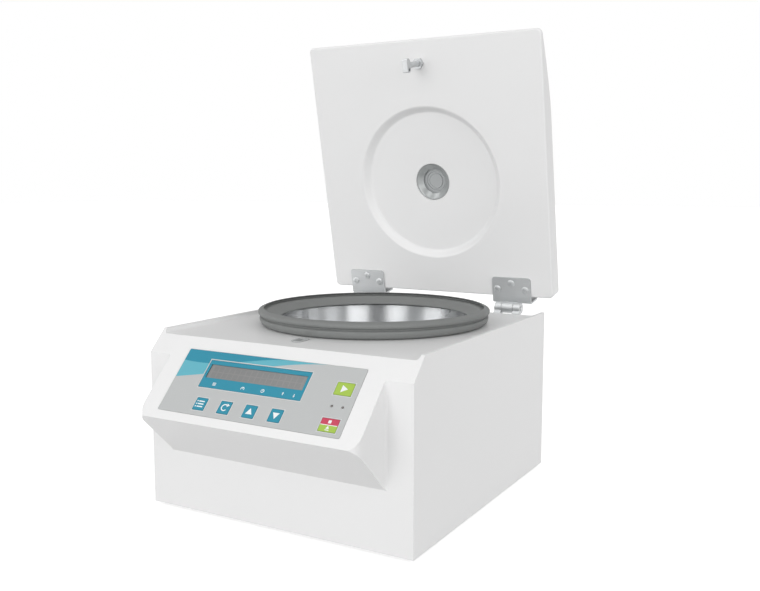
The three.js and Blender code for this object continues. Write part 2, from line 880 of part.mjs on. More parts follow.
function lcdModule() {
  const width = windowWidth + 2 * lcdMargin;
  const height = windowHeight + 2 * lcdMargin;
  return block(width, height, lcdTop - lcdDepth, lcdTop, bezelX, -windowFromTop);
}

function displayBoard() {
  const low = displayBoardTop - boardThickness;
  return block(displayBoardWidth, displayBoardHeight, low, displayBoardTop, 0, overlayMiddle);
}

piece('control_overlay', overlay(), overlayGrey, panel);
piece('display_bezel', displayBezel(), teal, panel);
piece('display_window', displayWindow(), displayGrey, panel);
piece('lcd_module', lcdModule(), blackPlastic, panel);
piece('display_board', displayBoard(), boardGreen, panel);
keys.forEach(({ name, width, x, y, look: keyLook }) => {
  const cap = prism(rectangle(width, keySize, keyCorner), keyProud - keyThickness, keyProud);
  piece(name, cap, keyLook, panel).position.set(x, y, 0);
});
leds.forEach(({ name, x, y }) => {
  const lamp = rod(ledRadius, displayBoardTop + fitGap, ledProud, smallSides);
  piece(name, lamp, ledAmber, panel).position.set(x, y, 0);
});

// Lid: Y runs from the rear edge, towards the front when negative, and Z out of the inner face

function crownHeight(fromRear) {
  const share = Math.max(0, fromRear - lidFlatLength) / (lidLength - lidFlatLength);
  return lidThickness - (lidThickness - lidFrontThickness) * share ** lidCrownPower;
}

function crownOutline(inset, low) {
  const start = lidFlatLength;
  const end = lidLength - inset;
  const points = [[-inset, low], [-inset, lidThickness - inset, (lidEdge * 5) / 4]];
  for (let step = 0; step <= crownSteps; step += 1) {
    const fromRear = start + ((end - start) * step) / crownSteps;
    points.push([-fromRear, Math.max(crownHeight(fromRear) - inset, lidSkin)]);
  }
  points.push([-end, low]);
  return softened(points);
}

function lidPlan(low, high) {
  return prism(rectangle(lidWidth, lidLength, lidCorner, 0, -lidLength / 2), low, high);
}

function sightHole() {
  const hole = rod(sightRadius + fitGap, -overrun, 2 * lidThickness, roundSides);
  return solid(hole.translate(0, -dishBack, 0));
}

function lidCover() {
  const outside = solid(crossPrism(crownOutline(0, -2 * lidEdge), -lidWidth / 2, lidWidth / 2, lidEdge));
  const rim = solid(lidPlan(lidSkin + fitGap, 2 * lidThickness));
  const half = lidWidth / 2 - lidSkin;
  const hollow = solid(crossPrism(crownOutline(lidSkin, -overrun), -half, half));
  return carved(outside.intersect(rim), hollow, sightHole());
}

// The tray's round dish: a soft wall, then a floor that falls gently to the sight window.
function dishBody(wall) {
  const points = [[0, -overrun], [dishRadius + wall, -overrun]];
  for (let step = 0; step <= dishSteps; step += 1) {
    const share = step / dishSteps;
    const ease = (1 - Math.cos(Math.PI * share)) / 2;
    points.push([dishRadius + wall - (dishRadius - dishFloorRadius) * share, wall + dishWallDepth * ease]);
  }
  points.push([sightRadius + fitGap, wall + dishDepth], [0, wall + dishDepth]);
  return solid(turned(points, largeSides).translate(0, -dishBack, 0));
}

function lidTray() {
  const sheet = solid(lidPlan(0, lidSkin));
  const dish = dishBody(lidSkin).intersect(solid(lidPlan(0, lidThickness)));
  const stud = rod(strikerNeckRadius + fitGap, -overrun, 2 * lidSkin).translate(0, -strikerBack, 0);
  return carved(joined(sheet, dish), dishBody(0), sightHole(), solid(stud));
}

function sightBush() {
  const mouth = dishDepth + fitGap;
  const throat = mouth + sightConeDepth;
  const shelf = throat + sightThroatDepth;
  const top = lidThickness + fitGap + sightFlange;
  return turned([
    [sightMouthRadius, mouth],
    [sightRadius, mouth],
    [sightRadius, lidThickness + fitGap],
    [sightFlangeRadius, lidThickness + fitGap],
    [sightFlangeRadius - sightFlange, top],
    [lensRadius + fitGap, top],
    [lensRadius + fitGap, shelf],
    [sightThroatRadius, shelf],
    [sightThroatRadius, throat],
  ], roundSides);
}

function sightLens() {
  const low = dishDepth + 2 * fitGap + sightConeDepth + sightThroatDepth;
  return rod(lensRadius, low, low + lensThickness, roundSides);
}

// The striker: a stud through the tray that ends in a flat, shouldered head with an eye.
function striker() {
  const neck = rod(strikerNeckRadius, -strikerNeck - strikerShoulder / 2, strikerTail, rodSides);
  const half = strikerHeadHeight / 2;
  const headOutline = softened([
    [-strikerNeckRadius, -strikerNeck],
    [-half, -strikerNeck - strikerShoulder],
    [-half, -strikerNeck - strikerHeadLength, strikerShoulder / 2],
    [half, -strikerNeck - strikerHeadLength, strikerShoulder / 2],
    [half, -strikerNeck - strikerShoulder],
    [strikerNeckRadius, -strikerNeck],
  ]);
  const head = crossPrism(headOutline, -strikerHeadWidth / 2, strikerHeadWidth / 2);
  const eyeY = half - 2 * strikerEyeRadius;
  const eyeZ = -strikerNeck - strikerHeadLength / 2;
  const eye = rodAlongX(strikerEyeRadius, -strikerHeadWidth, strikerHeadWidth, eyeY, eyeZ, smallSides);
  return carved(joined(solid(neck), solid(head)), solid(eye));
}

function strikerNut() {
  const radius = nutAcross / 2;
  const hex = rod(radius, -fitGap - nutHeight, -fitGap, 6);
  return carved(solid(hex), solid(rod(strikerNeckRadius + fitGap, -2 * nutHeight, overrun, rodSides)));
}

piece('lid_cover', lidCover(), whiteShell, lidFace);
piece('lid_tray', lidTray(), whiteShell, lidFace);
piece('sight_bush', sightBush(), overlayGrey, lidFace).position.y = -dishBack;
piece('sight_lens', sightLens(), smokyClear, lidFace).position.y = -dishBack;
piece('striker', striker(), zincSteel, lidFace).position.y = -strikerBack;
piece('striker_nut', strikerNut(), zincSteel, lidFace).position.y = -strikerBack;

// Hinges: the leaves turn with the lid on pins that the base knuckles hold

// A knuckle with a strap to it, as an outline of [y, z] points about the pin's axis.
function knuckle(strap, left, right) {
  const eye = rodAlongX(knuckleRadius, left, right, 0, 0);
  const body = joined(solid(eye), solid(crossPrism(strap, left, right)));
  return body.subtract(solid(rodAlongX(pinRadius + fitGap, left - overrun, right + overrun, 0, 0)));
}

function hingeLeaf() {
  const faceLow = lidPlane - hingeZ - fitGap - leafThickness;
  const rearEdge = lidRear - hingeY;
  const tail = rearEdge + leafTail;
  const front = rearEdge - leafLength;
  const plate = prism(softened([
    [-leafWidth / 2, front, leafCorner],
    [leafWidth / 2, front, leafCorner],
    [leafWidth / 2, tail],
    [-leafWidth / 2, tail],
  ]), faceLow, faceLow + leafThickness);
  const flangeY = tail - leafThickness / 2;
  const flange = block(leafWidth, leafThickness, faceLow, faceLow + leafFlange, 0, flangeY);
  const strap = [
    [tail - hingeStrap, faceLow + leafThickness],
    [tail, faceLow + leafThickness],
    [knuckleRadius, 0],
    [knuckleRadius - hingeStrap, 0],
  ].map((point) => new THREE.Vector2(...point));
  return joined(solid(plate), solid(flange), knuckle(strap, -tongueWidth / 2, tongueWidth / 2));
}

function hingeBase() {
  const plateY = panelFace + fitGap - hingeY;
  const plateTop = deckTop - hingeZ - hingePlateDrop;
  const plate = block(hingePlateWidth, leafThickness, plateTop - hingePlateHeight, plateTop,
    0, plateY + leafThickness / 2);
  const strap = [
    [plateY, plateTop - hingeStrap],
    [plateY, plateTop],
    [0, knuckleRadius - hingeStrap],
    [0, -knuckleRadius],
  ].map((point) => new THREE.Vector2(...point));
  const inner = tongueWidth / 2 + fitGap;
  const sides = [-inner - knuckleWidth, inner].map((left) => knuckle(strap, left, left + knuckleWidth));
  return joined(solid(plate), ...sides);
}

function hingePin() {
  const half = tongueWidth / 2 + fitGap + knuckleWidth + pinOverhang;
  return rodAlongX(pinRadius, -half, half, 0, 0);
}

[['left', -hingeX], ['right', hingeX]].forEach(([side, x]) => {
  piece(`hinge_leaf_${side}`, hingeLeaf(), zincSteel, lid).position.x = x;
  piece(`hinge_base_${side}`, hingeBase(), zincSteel, machine).position.set(x, hingeY, hingeZ);
  piece(`hinge_pin_${side}`, hingePin(), zincSteel, machine).position.set(x, hingeY, hingeZ);
});

// Latch under the deck: the fork slides along X, from beside the striker's neck to around it

const forkTip = -strikerHeadWidth / 2 - fitGap * 3;
const tabRight = forkTip - forkLength + 2 * forkThickness;
const tabLeft = tabRight - forkThickness;
const plungerZ = forkTop - forkTabDrop + plungerRadius;

function slotBezel() {
  const neckWidth = slotWidth + 2 * slotNeck;
  const neckLength = slotLength + 2 * slotNeck;
  const lip = stadium(slotWidth + 2 * slotLip, slotLength + 2 * slotLip);
  const lipLow = deckTop + fitGap;
  const body = joined(
    solid(prism(stadium(neckWidth, neckLength), deckUnder + fitGap, lipLow + slotLipHeight)),
    solid(prism(lip, lipLow, lipLow + slotLipHeight)),
  );
  return carved(body, solid(prism(stadium(slotWidth, slotLength), deckUnder - overrun, caseHeight)));
}

function lockFork() {
  const left = tabLeft;
  const length = forkTip - left;
  const neckWidth = 2 * strikerNeckRadius + 3 * fitGap;
  const plate = block(length, forkWidth, forkUnder, forkTop, left + length / 2, 0);
  const mouth = block(2 * forkSlotDepth, neckWidth, forkUnder - overrun, forkTop + overrun, forkTip, 0);
  const tabX = left + forkThickness / 2;
  const tab = block(forkThickness, forkTabWidth, forkTop - forkTabDrop, forkTop, tabX, 0);
  const eyeRadius = plungerTipRadius + fitGap;
  const eye = rodAlongX(eyeRadius, left - overrun, tabRight + overrun, 0, plungerZ, smallSides);
  return carved(joined(solid(plate), solid(tab)), solid(mouth), solid(eye));
}

function lockPlunger() {
  const end = tabLeft - fitGap;
  const tip = tabRight + forkThickness;
  return joined(
    solid(rodAlongX(plungerRadius, end - plungerLength, end, 0, plungerZ)),
    solid(rodAlongX(plungerTipRadius, end - plungerRadius, tip, 0, plungerZ, smallSides)),
  );
}

function lockTray() {
  const wallY = forkWidth / 2 + fitGap;
  const length = trayBack + trayFront;
  const middle = (trayFront - trayBack) / 2;
  const floor = block(length, 2 * wallY + 2 * trayWall, trayUnder, trayTop, middle, 0);
  const walls = [-1, 1].map((side) => block(length, trayWall, trayUnder, deckUnder - fitGap,
    middle, side * (wallY + trayWall / 2)));
  const headHole = block(slotWidth + trayClearance, strikerHeadHeight + 2 * trayClearance,
    trayUnder - overrun, trayTop + overrun);
  const tabRun = forkTravel + forkThickness + 2 * trayClearance;
  const tabHole = block(tabRun, forkTabWidth + 2 * trayClearance, trayUnder - overrun, trayTop + overrun,
    tabLeft - trayClearance + tabRun / 2, 0);
  return carved(joined(solid(floor), ...walls.map(solid)), solid(headHole), solid(tabHole));
}

function lockCoil() {
  const top = trayUnder - fitGap;
  const box = block(coilLength, coilWidth, top - coilHeight, top, -coilEnd - coilLength / 2, 0);
  const boreEnd = -coilEnd - coilLength + 2 * fitGap;
  const bore = rodAlongX(plungerRadius + fitGap, boreEnd, overrun - coilEnd, 0, plungerZ);
  return carved(solid(box), solid(bore));
}

function lidSwitch() {
  const top = deckUnder - fitGap;
  return block(switchLength, switchWidth, top - switchHeight, top, switchX, 0);
}

piece('slot_bezel', slotBezel(), overlayGrey, latch);
piece('lock_tray', lockTray(), zincSteel, latch);
piece('lock_coil', lockCoil(), blackPlastic, latch);
piece('lock_fork', lockFork(), zincSteel, latch);
piece('lock_plunger', lockPlunger(), zincSteel, latch);
piece('lid_switch', lidSwitch(), blackPlastic, latch);

// Rotor, its cover and knob

function rotorDisc() {
  const bore = spindleRadius + fitGap;
  const discTop = rotorDiscZ + rotorDiscThickness;
  const body = solid(turned([
    [bore, rotorDiscZ - rotorHubDrop],
    [rotorHubRadius, rotorDiscZ - rotorHubDrop],
    [rotorHubRadius, rotorDiscZ],
    [rotorRadius - rotorWall / 2, rotorDiscZ],
    [rotorRadius, rotorDiscZ + rotorWall / 2],
    [rotorRadius, rotorRimZ],
    [rotorRadius - rotorWall, rotorRimZ],
    [rotorRadius - rotorWall, discTop],
    [rotorTableRadius, discTop],
    [rotorTableRadius, rotorTableZ],
    [rotorTopHubRadius, rotorTableZ],
    [rotorTopHubRadius, rotorHubTop],
    [bore, rotorHubTop],
  ], largeSides));
  const slotLength = rotorTableRadius + overrun - tubeSlotStart;
  const slots = Array.from({ length: tubeCount }, (_, index) => solid(
    block(slotLength, tubeSlotWidth, rotorTableZ - tubeSlotDepth, rotorTableZ + overrun,
      tubeSlotStart + slotLength / 2, 0).rotateZ((Math.PI * 2 * index) / tubeCount),
  ));
  return carved(body, ...slots);
}

function rotorCushion() {
  const outer = rotorRadius - rotorWall - fitGap;
  const low = rotorDiscZ + rotorDiscThickness + fitGap;
  return turned([
    [outer - cushionThickness, low],
    [outer, low],
    [outer, low + cushionHeight],
    [outer - cushionThickness, low + cushionHeight],
  ], largeSides);
}

function rotorCover() {
  const hole = threadRadius + 2 * fitGap;
  const rim = rotorRadius - coverOverhang;
  return turned([
    [hole, rotorHubTop + fitGap],
    [coverBossRadius, rotorHubTop + fitGap],
    [coverBossRadius, coverZ],
    [rim, coverZ],
    [rim, coverZ + coverThickness],
    [hole, coverZ + coverThickness],
  ], largeSides);
}

function rotorKnob() {
  const bore = threadRadius + fitGap;
  const top = knobZ + knobHeight;
  const boreTop = spindleTop + fitGap;
  const edge = coverThickness;
  const body = solid(turned([
    [0, boreTop],
    [bore, boreTop],
    [bore, knobZ],
    [knobRadius - edge, knobZ],
    [knobRadius, knobZ + edge],
    [knobRadius, top - edge],
    [knobRadius - edge, top],
    [0, top],
  ], roundSides));
  const flutes = Array.from({ length: knobFlutes }, (_, index) => solid(
    rod(knobFluteRadius, knobZ - overrun, top + overrun, smallSides)
      .translate(knobRadius + knobFluteRadius / 2, 0, 0)
      .rotateZ((Math.PI * 2 * index) / knobFlutes),
  ));
  return carved(body, ...flutes);
}

function spindle() {
  const shoulder = rotorHubTop - rotorHubRise;
  return turned([
    [0, motorTop - spindleSeat],
    [spindleRadius, motorTop - spindleSeat],
    [spindleRadius, shoulder],
    [threadRadius, shoulder + fitGap],
    [threadRadius, spindleTop],
    [0, spindleTop],
  ], rodSides);
}

piece('spindle', spindle(), brightSteel, spin);
piece('rotor_disc', rotorDisc(), anodised, spin);
piece('rotor_cushion', rotorCushion(), darkRubber, spin);
piece('rotor_cover', rotorCover(), anodised, spin);
piece('rotor_knob', rotorKnob(), blackPlastic, spin);

// Motor on its sprung plate, and the boot that closes the bowl's eye

function motor() {
  const low = baseTop + motorGround;
  const plateTop = motorPlateZ + motorPlate + fitGap;
  const shoulder = plateTop + motorFlange + motorAbove;
  const bore = spindleRadius + fitGap;
  const seat = motorTop - spindleSeat - fitGap;
  return turned([
    [0, low],
    [motorRadius - motorEdge, low],
    [motorRadius, low + motorEdge],
    [motorRadius, plateTop],
    [motorFlangeRadius, plateTop],
    [motorFlangeRadius, plateTop + motorFlange],
    [motorRadius, plateTop + motorFlange],
    [motorRadius, shoulder - motorEdge],
    [motorRadius - motorEdge, shoulder],
    [motorNeckRadius, shoulder],
    [motorNeckRadius, motorTop],
    [bore, motorTop],
    [bore, seat],
    [0, seat],
  ], roundSides);
}

function motorPlateBody() {
  return turned([
    [motorRadius + fitGap, motorPlateZ],
    [motorPlateRadius, motorPlateZ],
    [motorPlateRadius, motorPlateZ + motorPlate],
    [motorRadius + fitGap, motorPlateZ + motorPlate],
  ], roundSides);
}

function damper() {
  const low = baseTop + fitGap;
  const high = motorPlateZ - fitGap;
  return turned([
    [0, low],
    [damperRadius, low],
    [damperRadius, low + damperShoulder],
    [damperWaist, low + 2 * damperShoulder],
    [damperWaist, high - 2 * damperShoulder],
    [damperRadius, high - damperShoulder],
    [damperRadius, high],
    [0, high],
  ], rodSides);
}

function shaftBoot() {
  const bore = spindleRadius + bootGap;
  const neck = bowlEyeRadius - fitGap;
  const seat = motorTop + fitGap;
  const top = bowlFloor + fitGap + bootFlange;
  return turned([
    [bore, seat],
    [motorNeckRadius, seat],
    [neck, bowlFloor - bowlWall],
    [neck, bowlFloor + fitGap],
    [bootFlangeRadius, bowlFloor + fitGap],
    [bootFlangeRadius, top],
    [bootWaistRadius, top],
    [bootWaistRadius - bootLip, top + bootLip],
    [bore, top + bootLip],
  ], roundSides);
}

piece('motor', motor(), castAluminium, spin);
piece('motor_plate', motorPlateBody(), zincSteel, spin);
piece('shaft_boot', shaftBoot(), darkRubber, spin);
for (let index = 0; index < damperCount; index += 1) {
  const angle = Math.PI / 2 + (Math.PI * 2 * index) / damperCount;
  piece(`motor_damper_${index + 1}`, damper(), darkRubber, spin)
    .position.set(damperCircle * Math.cos(angle), damperCircle * Math.sin(angle), 0);
}

// Main board with its parts, transformer and leads

const boardLow = baseTop + boardPostHeight + fitGap;
const boardTop = boardLow + boardThickness;

function mainBoard() {
  const sunk = boardTop - boardThickness / 2;
  const rearY = mainBoardDepth / 2 - postInset;
  const board = block(mainBoardWidth, mainBoardDepth, boardLow, boardTop);
  const heatSinkX = heatSinkDepth - heatSinkWidth / 2;
  const heatSinkTop = boardTop + heatSinkHeight;
  const heatSinkY = rearY - heatSinkDepth / 2;
  const heatSink = block(heatSinkWidth, heatSinkDepth, sunk, heatSinkTop, heatSinkX, heatSinkY);
  const capacitors = [-1, 1].map((side) => (
    rod(capacitorRadius, sunk, boardTop + capacitorHeight)
      .translate(mainBoardWidth / 4 + (side * capacitorPitch) / 2, rearY - capacitorRadius, 0)));
  const connectors = [-1, 0, 1].map((index) => (
    block(connectorLength, connectorDepth, sunk, boardTop + connectorHeight,
      index * (connectorLength + connectorDepth), connectorDepth - mainBoardDepth / 2)));
  return joined(solid(board), ...[heatSink, ...capacitors, ...connectors].map(solid));
}

function transformer() {
  const low = baseTop + fitGap;
  const high = low + coreHeight;
  const core = block(coreWidth, coreDepth, low, high);
  const coil = block(coreWidth - 2 * coilLap, coreDepth + 2 * coilLap, low + coilLap, high - coilLap);
  return { core, coil };
}

piece('main_board', mainBoard(), boardGreen, machine).position.set(mainBoardX, mainBoardY, 0);
const windings = transformer();
piece('transformer', joined(solid(windings.core), solid(windings.coil)), copperRed, machine)
  .position.set(transformerX, transformerY, 0);

// Mains inlet, fuse drawer and switch

function powerInlet() {
  const face = fitGap + inletFlange;
  const flange = prism(rectangle(inletFlangeWidth, inletFlangeHeight, inletFlange), fitGap, face);
  const body = block(inletBodyWidth, inletBodyHeight, -inletBodyDepth, face - inletFlange / 2);
  const socket = prism(softened([
    [-socketWidth / 2, socketRaise - socketHeight / 2],
    [socketWidth / 2, socketRaise - socketHeight / 2],
    [socketWidth / 2, socketRaise + socketHeight / 2 - socketBevel],
    [socketWidth / 2 - socketBevel, socketRaise + socketHeight / 2],
    [socketBevel - socketWidth / 2, socketRaise + socketHeight / 2],
    [-socketWidth / 2, socketRaise + socketHeight / 2 - socketBevel],
  ]), face - socketDepth, face + overrun);
  const [drawerWidth, drawerHeight] = [fuseWidth, fuseHeight].map((size) => size + 2 * fitGap);
  const drawerEnd = face - fuseDepth - fitGap;
  const drawer = block(drawerWidth, drawerHeight, drawerEnd, face + overrun, 0, -fuseDrop);
  const contacts = [-1, 0, 1].map((index) => solid(
    block(contactWidth, contactHeight, face - socketDepth - fitGap, face - socketDepth + contactLength,
      index * contactPitch, socketRaise + (index === 0 ? 1 : -1) * contactWidth),
  ));
  return joined(carved(joined(solid(flange), solid(body)), solid(socket), solid(drawer)), ...contacts);
}

function fuseDrawer() {
  const face = fitGap + inletFlange;
  return block(fuseWidth, fuseHeight, face - fuseDepth, face + fuseProud, 0, -fuseDrop);
}

function rockerFrame() {
  const face = fitGap + rockerFrameFlange;
  const [width, height] = [rockerFrameWidth, rockerFrameHeight].map((size) => size + 2 * rockerFrameLip);
  const flange = prism(rectangle(width, height, rockerFrameLip), fitGap, face);
  const body = block(rockerFrameWidth, rockerFrameHeight, -rockerFrameDepth, face - rockerFrameFlange / 2);
  const wellHalf = Math.hypot(rockerHalf, rockerCrest) + rockerGap;
  const wellDepth = rockerPivotDepth + rockerKeel + 2 * rockerGap;
  const well = block(rockerWidth + 2 * rockerGap, 2 * wellHalf, -wellDepth, face + overrun);
  return carved(joined(solid(flange), solid(body)), solid(well));
}

function rocker() {
  const outline = [
    [-rockerKeel, -rockerKeel],
    [rockerKeel, -rockerKeel],
    [rockerHalf, -rockerSkirt],
    [rockerHalf, rockerCrest],
    [0, rockerValley],
    [-rockerHalf, rockerCrest],
    [-rockerHalf, -rockerSkirt],
  ].map((point) => new THREE.Vector2(...point));
  return crossPrism(outline, -rockerWidth / 2, rockerWidth / 2);
}

piece('power_inlet', powerInlet(), blackPlastic, back).position.set(inletX, inletZ, 0);
piece('fuse_drawer', fuseDrawer(), blackPlastic, back).position.set(inletX, inletZ, 0);
piece('rocker_frame', rockerFrame(), blackPlastic, back).position.set(rockerX, inletZ, 0);
const powerRocker = piece('power_rocker', rocker(), blackPlastic, back);
powerRocker.position.set(rockerX, inletZ, -rockerPivotDepth);
powerRocker.rotation.x = rockerTilt;

// Stand the machine on its feet, with the origin under the middle of its outline
const outlineBox = new THREE.Box3().setFromObject(machine, true);
const middle = outlineBox.getCenter(new THREE.Vector3());
machine.position.set(-middle.x, -middle.y, -outlineBox.min.z);

export default machine;
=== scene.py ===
"""Looks of the hematocrit centrifuge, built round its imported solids.

Shapes are made in millimetres in the machine's own frame: X to the right, Y to the back from the front face,
Z up from the casing's lower edge. They are moved to the row frame, in metres, as each piece is finished.
"""

import json
import logging
import math
from dataclasses import dataclass, field
from enum import Enum
from typing import Callable, Iterable, Sequence

import bmesh
import bpy
from mathutils import Matrix, Vector


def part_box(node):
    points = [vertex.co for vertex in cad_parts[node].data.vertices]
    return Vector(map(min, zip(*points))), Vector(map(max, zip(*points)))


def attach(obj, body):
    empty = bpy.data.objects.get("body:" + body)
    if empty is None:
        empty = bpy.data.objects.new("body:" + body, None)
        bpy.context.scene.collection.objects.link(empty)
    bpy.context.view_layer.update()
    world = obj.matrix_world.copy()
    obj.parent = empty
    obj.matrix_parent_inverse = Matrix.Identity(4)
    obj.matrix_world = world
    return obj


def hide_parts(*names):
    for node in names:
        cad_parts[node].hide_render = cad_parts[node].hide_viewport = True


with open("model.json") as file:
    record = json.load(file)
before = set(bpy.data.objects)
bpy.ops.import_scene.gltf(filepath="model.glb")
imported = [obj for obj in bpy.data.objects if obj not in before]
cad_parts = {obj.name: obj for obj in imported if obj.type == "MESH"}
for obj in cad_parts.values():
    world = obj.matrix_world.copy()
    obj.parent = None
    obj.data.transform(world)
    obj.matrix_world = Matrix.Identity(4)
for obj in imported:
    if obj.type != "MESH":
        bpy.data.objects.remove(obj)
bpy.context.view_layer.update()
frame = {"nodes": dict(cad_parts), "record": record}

logging.basicConfig(level=logging.INFO, format="%(message)s")
LOG = logging.getLogger("centrifuge")

Point = tuple[float, ...]
Outline = list[tuple[float, float]]
Solid = bpy.types.Object
Socket = bpy.types.NodeSocket
Feeds = dict[str | int, object]
Block = tuple[float, float, float, float]

MM = 0.001  # metres in a millimetre
FIT = 0.3  # the clearance between neighbouring pieces
PAST = 9.0  # how far a cutter reaches past what it cuts
THROUGH_DECK = (140.0, 190.0)  # the heights that a cutter through the deck runs between
TOUCHING = 1e-4  # points of a new mesh that lie this close are one
MERGED = 2e-3  # points that lie this close after cutting are one
ROUND = 160  # the sides of the largest round shapes
SHARP = 34.0  # edges that bend more than this many degrees stay sharp to the eye
SQUARE = 50.0  # the least bend, in degrees, of the edges that are rounded on a block


# Places


def turned_about_x(degrees: float) -> Matrix:
    """Returns a turn about X."""
    return Matrix.Rotation(math.radians(degrees), 4, "X")


@dataclass(frozen=True)
class Layout3D:
    """The frames of the machine's sub-assemblies, in millimetres from the casing's front lower edge."""

    depth: float = 299.0
    height: float = 165.7
    front_height: float = 145.7
    slope_run: float = 19.2
    deck: float = 161.3
    bowl_back: float = 177.0
    latch_back: float = 44.8
    panel_face: float = 298.0
    hinge: tuple[float, float] = (313.9, 165.8)
    open_angle: float = 78.63
    lid_face: tuple[float, float] = (-9.1, 12.7)

    @property
    def slope(self) -> float:
        """Returns the panel's slope in degrees."""
        return math.degrees(math.atan2(self.height - self.front_height, self.slope_run))

    def panel(self) -> Matrix:
        """Returns the frame of the sloping panel: Y up the slope, Z out of it."""
        return Matrix.Translation((0, self.slope_run, self.height)) @ turned_about_x(self.slope)

    def back(self) -> Matrix:
        """Returns the frame of the rear panel, seen from behind: Y up, Z out to the back."""
        turn = turned_about_x(-90) @ Matrix.Rotation(math.pi, 4, "Z")
        return Matrix.Translation((0, self.panel_face, 0)) @ turn

    def spin(self) -> Matrix:
        """Returns the frame of the bowl and the rotor."""
        return Matrix.Translation((0, self.bowl_back, 0))

    def latch(self) -> Matrix:
        """Returns the frame of the latch slot."""
        return Matrix.Translation((0, self.latch_back, 0))

    def lid_hinge(self, x: float = 0.0) -> Matrix:
        """Returns the frame of the open lid at its hinge axis.

        Args:
            x: where along the axis the frame sits.
        """
        return Matrix.Translation((x, *self.hinge)) @ turned_about_x(-self.open_angle)

    def lid(self) -> Matrix:
        """Returns the frame of the open lid's inner face: Y to the rear edge, Z to the outside."""
        return self.lid_hinge() @ Matrix.Translation((0, *self.lid_face))

    def row(self) -> Matrix:
        """Returns the turn from millimetres here to the row frame."""
        low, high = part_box("casing")
        return Matrix.Translation((0, high.y - self.depth * MM, low.z)) @ Matrix.Scale(MM, 4)


PLACES = Layout3D()


# Outlines


def arc(centre: Point, radius: float, start: float, end: float, steps: int) -> Outline:
    """Draws an arc.

    Args:
        centre: its centre.
        radius: its radius.
        start: the angle it starts at, in degrees.
        end: the angle it ends at, in degrees.
        steps: how many chords it has.

    Returns:
        The arc's points, both ends included.
    """
    angles = [math.radians(start + (end - start) * i / steps) for i in range(steps + 1)]
    return [(centre[0] + radius * math.cos(a), centre[1] + radius * math.sin(a)) for a in angles]


def softened(corners: Sequence[Point], steps: int = 6) -> Outline:
    """Rounds the corners of a closed outline.

    Args:
        corners: points of (x, y) or (x, y, radius).
        steps: how many chords each rounding has.

    Returns:
        The outline with an arc in place of each corner that has a radius.
    """
    points: Outline = []
    for index, corner in enumerate(corners):
        here = Vector(corner[:2])
        radius = corner[2] if len(corner) > 2 else 0.0
        if radius == 0:
            points.append(tuple(here))
            continue
        before = (Vector(corners[index - 1][:2]) - here).normalized()
        after = (Vector(corners[(index + 1) % len(corners)][:2]) - here).normalized()
        half = before.angle(after) / 2
        centre = here + (before + after).normalized() * (radius / math.sin(half))
        start = here + before * (radius / math.tan(half)) - centre
        end = here + after * (radius / math.tan(half)) - centre
        sweep = math.atan2(start.x * end.y - start.y * end.x, start.dot(end))
        for step in range(steps + 1):
            angle = sweep * step / steps
            spoke = Matrix.Rotation(angle, 2) @ start
            points.append(tuple(centre + spoke))
    return points


def rectangle(width: float, height: float, radius: float = 0.0, x: float = 0.0, y: float = 0.0) -> Outline:
    """Draws a rectangle with rounded corners.

    Args:
        width: its width.
        height: its height.
        radius: the radius of its corners.
        x: its middle.
        y: its middle.

    Returns:
        Its outline.
    """
    a, b = width / 2, height / 2
    corners = [(x - a, y - b, radius), (x + a, y - b, radius), (x + a, y + b, radius), (x - a, y + b, radius)]
    return softened(corners)


def stadium(width: float, length: float, steps: int = 12) -> Outline:
    """Returns a slot with round ends that runs along Y."""
    offset = (length - width) / 2
    return arc((0, offset), width / 2, 0, 180, steps) + arc((0, -offset), width / 2, 180, 360, steps)


# Shapes


class Axis(Enum):
    """The way a prism or a turned shape runs."""

    X = "x"
    Y = "y"
    Z = "z"

    def point(self, a: float, b: float, along: float) -> Point:
        """Returns the point at (a, b) across this axis and at the given place along it."""
        return {"x": (along, a, b), "y": (a, along, b), "z": (a, b, along)}[self.value]


def added(name: str, data: bpy.types.ID) -> bpy.types.Object:
    """Adds an object to the scene.

    Args:
        name: the object's name.
        data: its mesh, lamp or camera.

    Returns:
        The new object.
    """
    obj = bpy.data.objects.new(name, data)
    bpy.context.scene.collection.objects.link(obj)
    return obj


def shape(name: str, mesh: bmesh.types.BMesh) -> Solid:
    """Makes a scene object of a mesh, with its normals pointing out.

    Args:
        name: the object's name.
        mesh: the mesh, which is used up.

    Returns:
        The new object.
    """
    bmesh.ops.remove_doubles(mesh, verts=mesh.verts, dist=TOUCHING)
    bmesh.ops.recalc_face_normals(mesh, faces=mesh.faces)
    data = bpy.data.meshes.new(name)
    mesh.to_mesh(data)
    mesh.free()
    return added(name, data)


def prism(outline: Outline, low: float, high: float, axis: Axis = Axis.Z) -> Solid:
    """Makes a prism.

    Args:
        outline: its section, across the axis.
        low: where it starts along the axis.
        high: where it ends along the axis.
        axis: the way it runs.

    Returns:
        The prism.
    """
    mesh = bmesh.new()
    rings = [[mesh.verts.new(axis.point(*p, at)) for p in outline] for at in (low, high)]
    mesh.faces.new(rings[0])
    mesh.faces.new(rings[1])
    count = len(outline)
    for i in range(count):
        j = (i + 1) % count
        mesh.faces.new((rings[0][i], rings[0][j], rings[1][j], rings[1][i]))
    return shape("prism", mesh)


def box(width: float, depth: float, low: float, high: float, x: float = 0.0, y: float = 0.0) -> Solid:
    """Returns a block about (x, y), from one height to another."""
    return prism(rectangle(width, depth, 0, x, y), low, high)


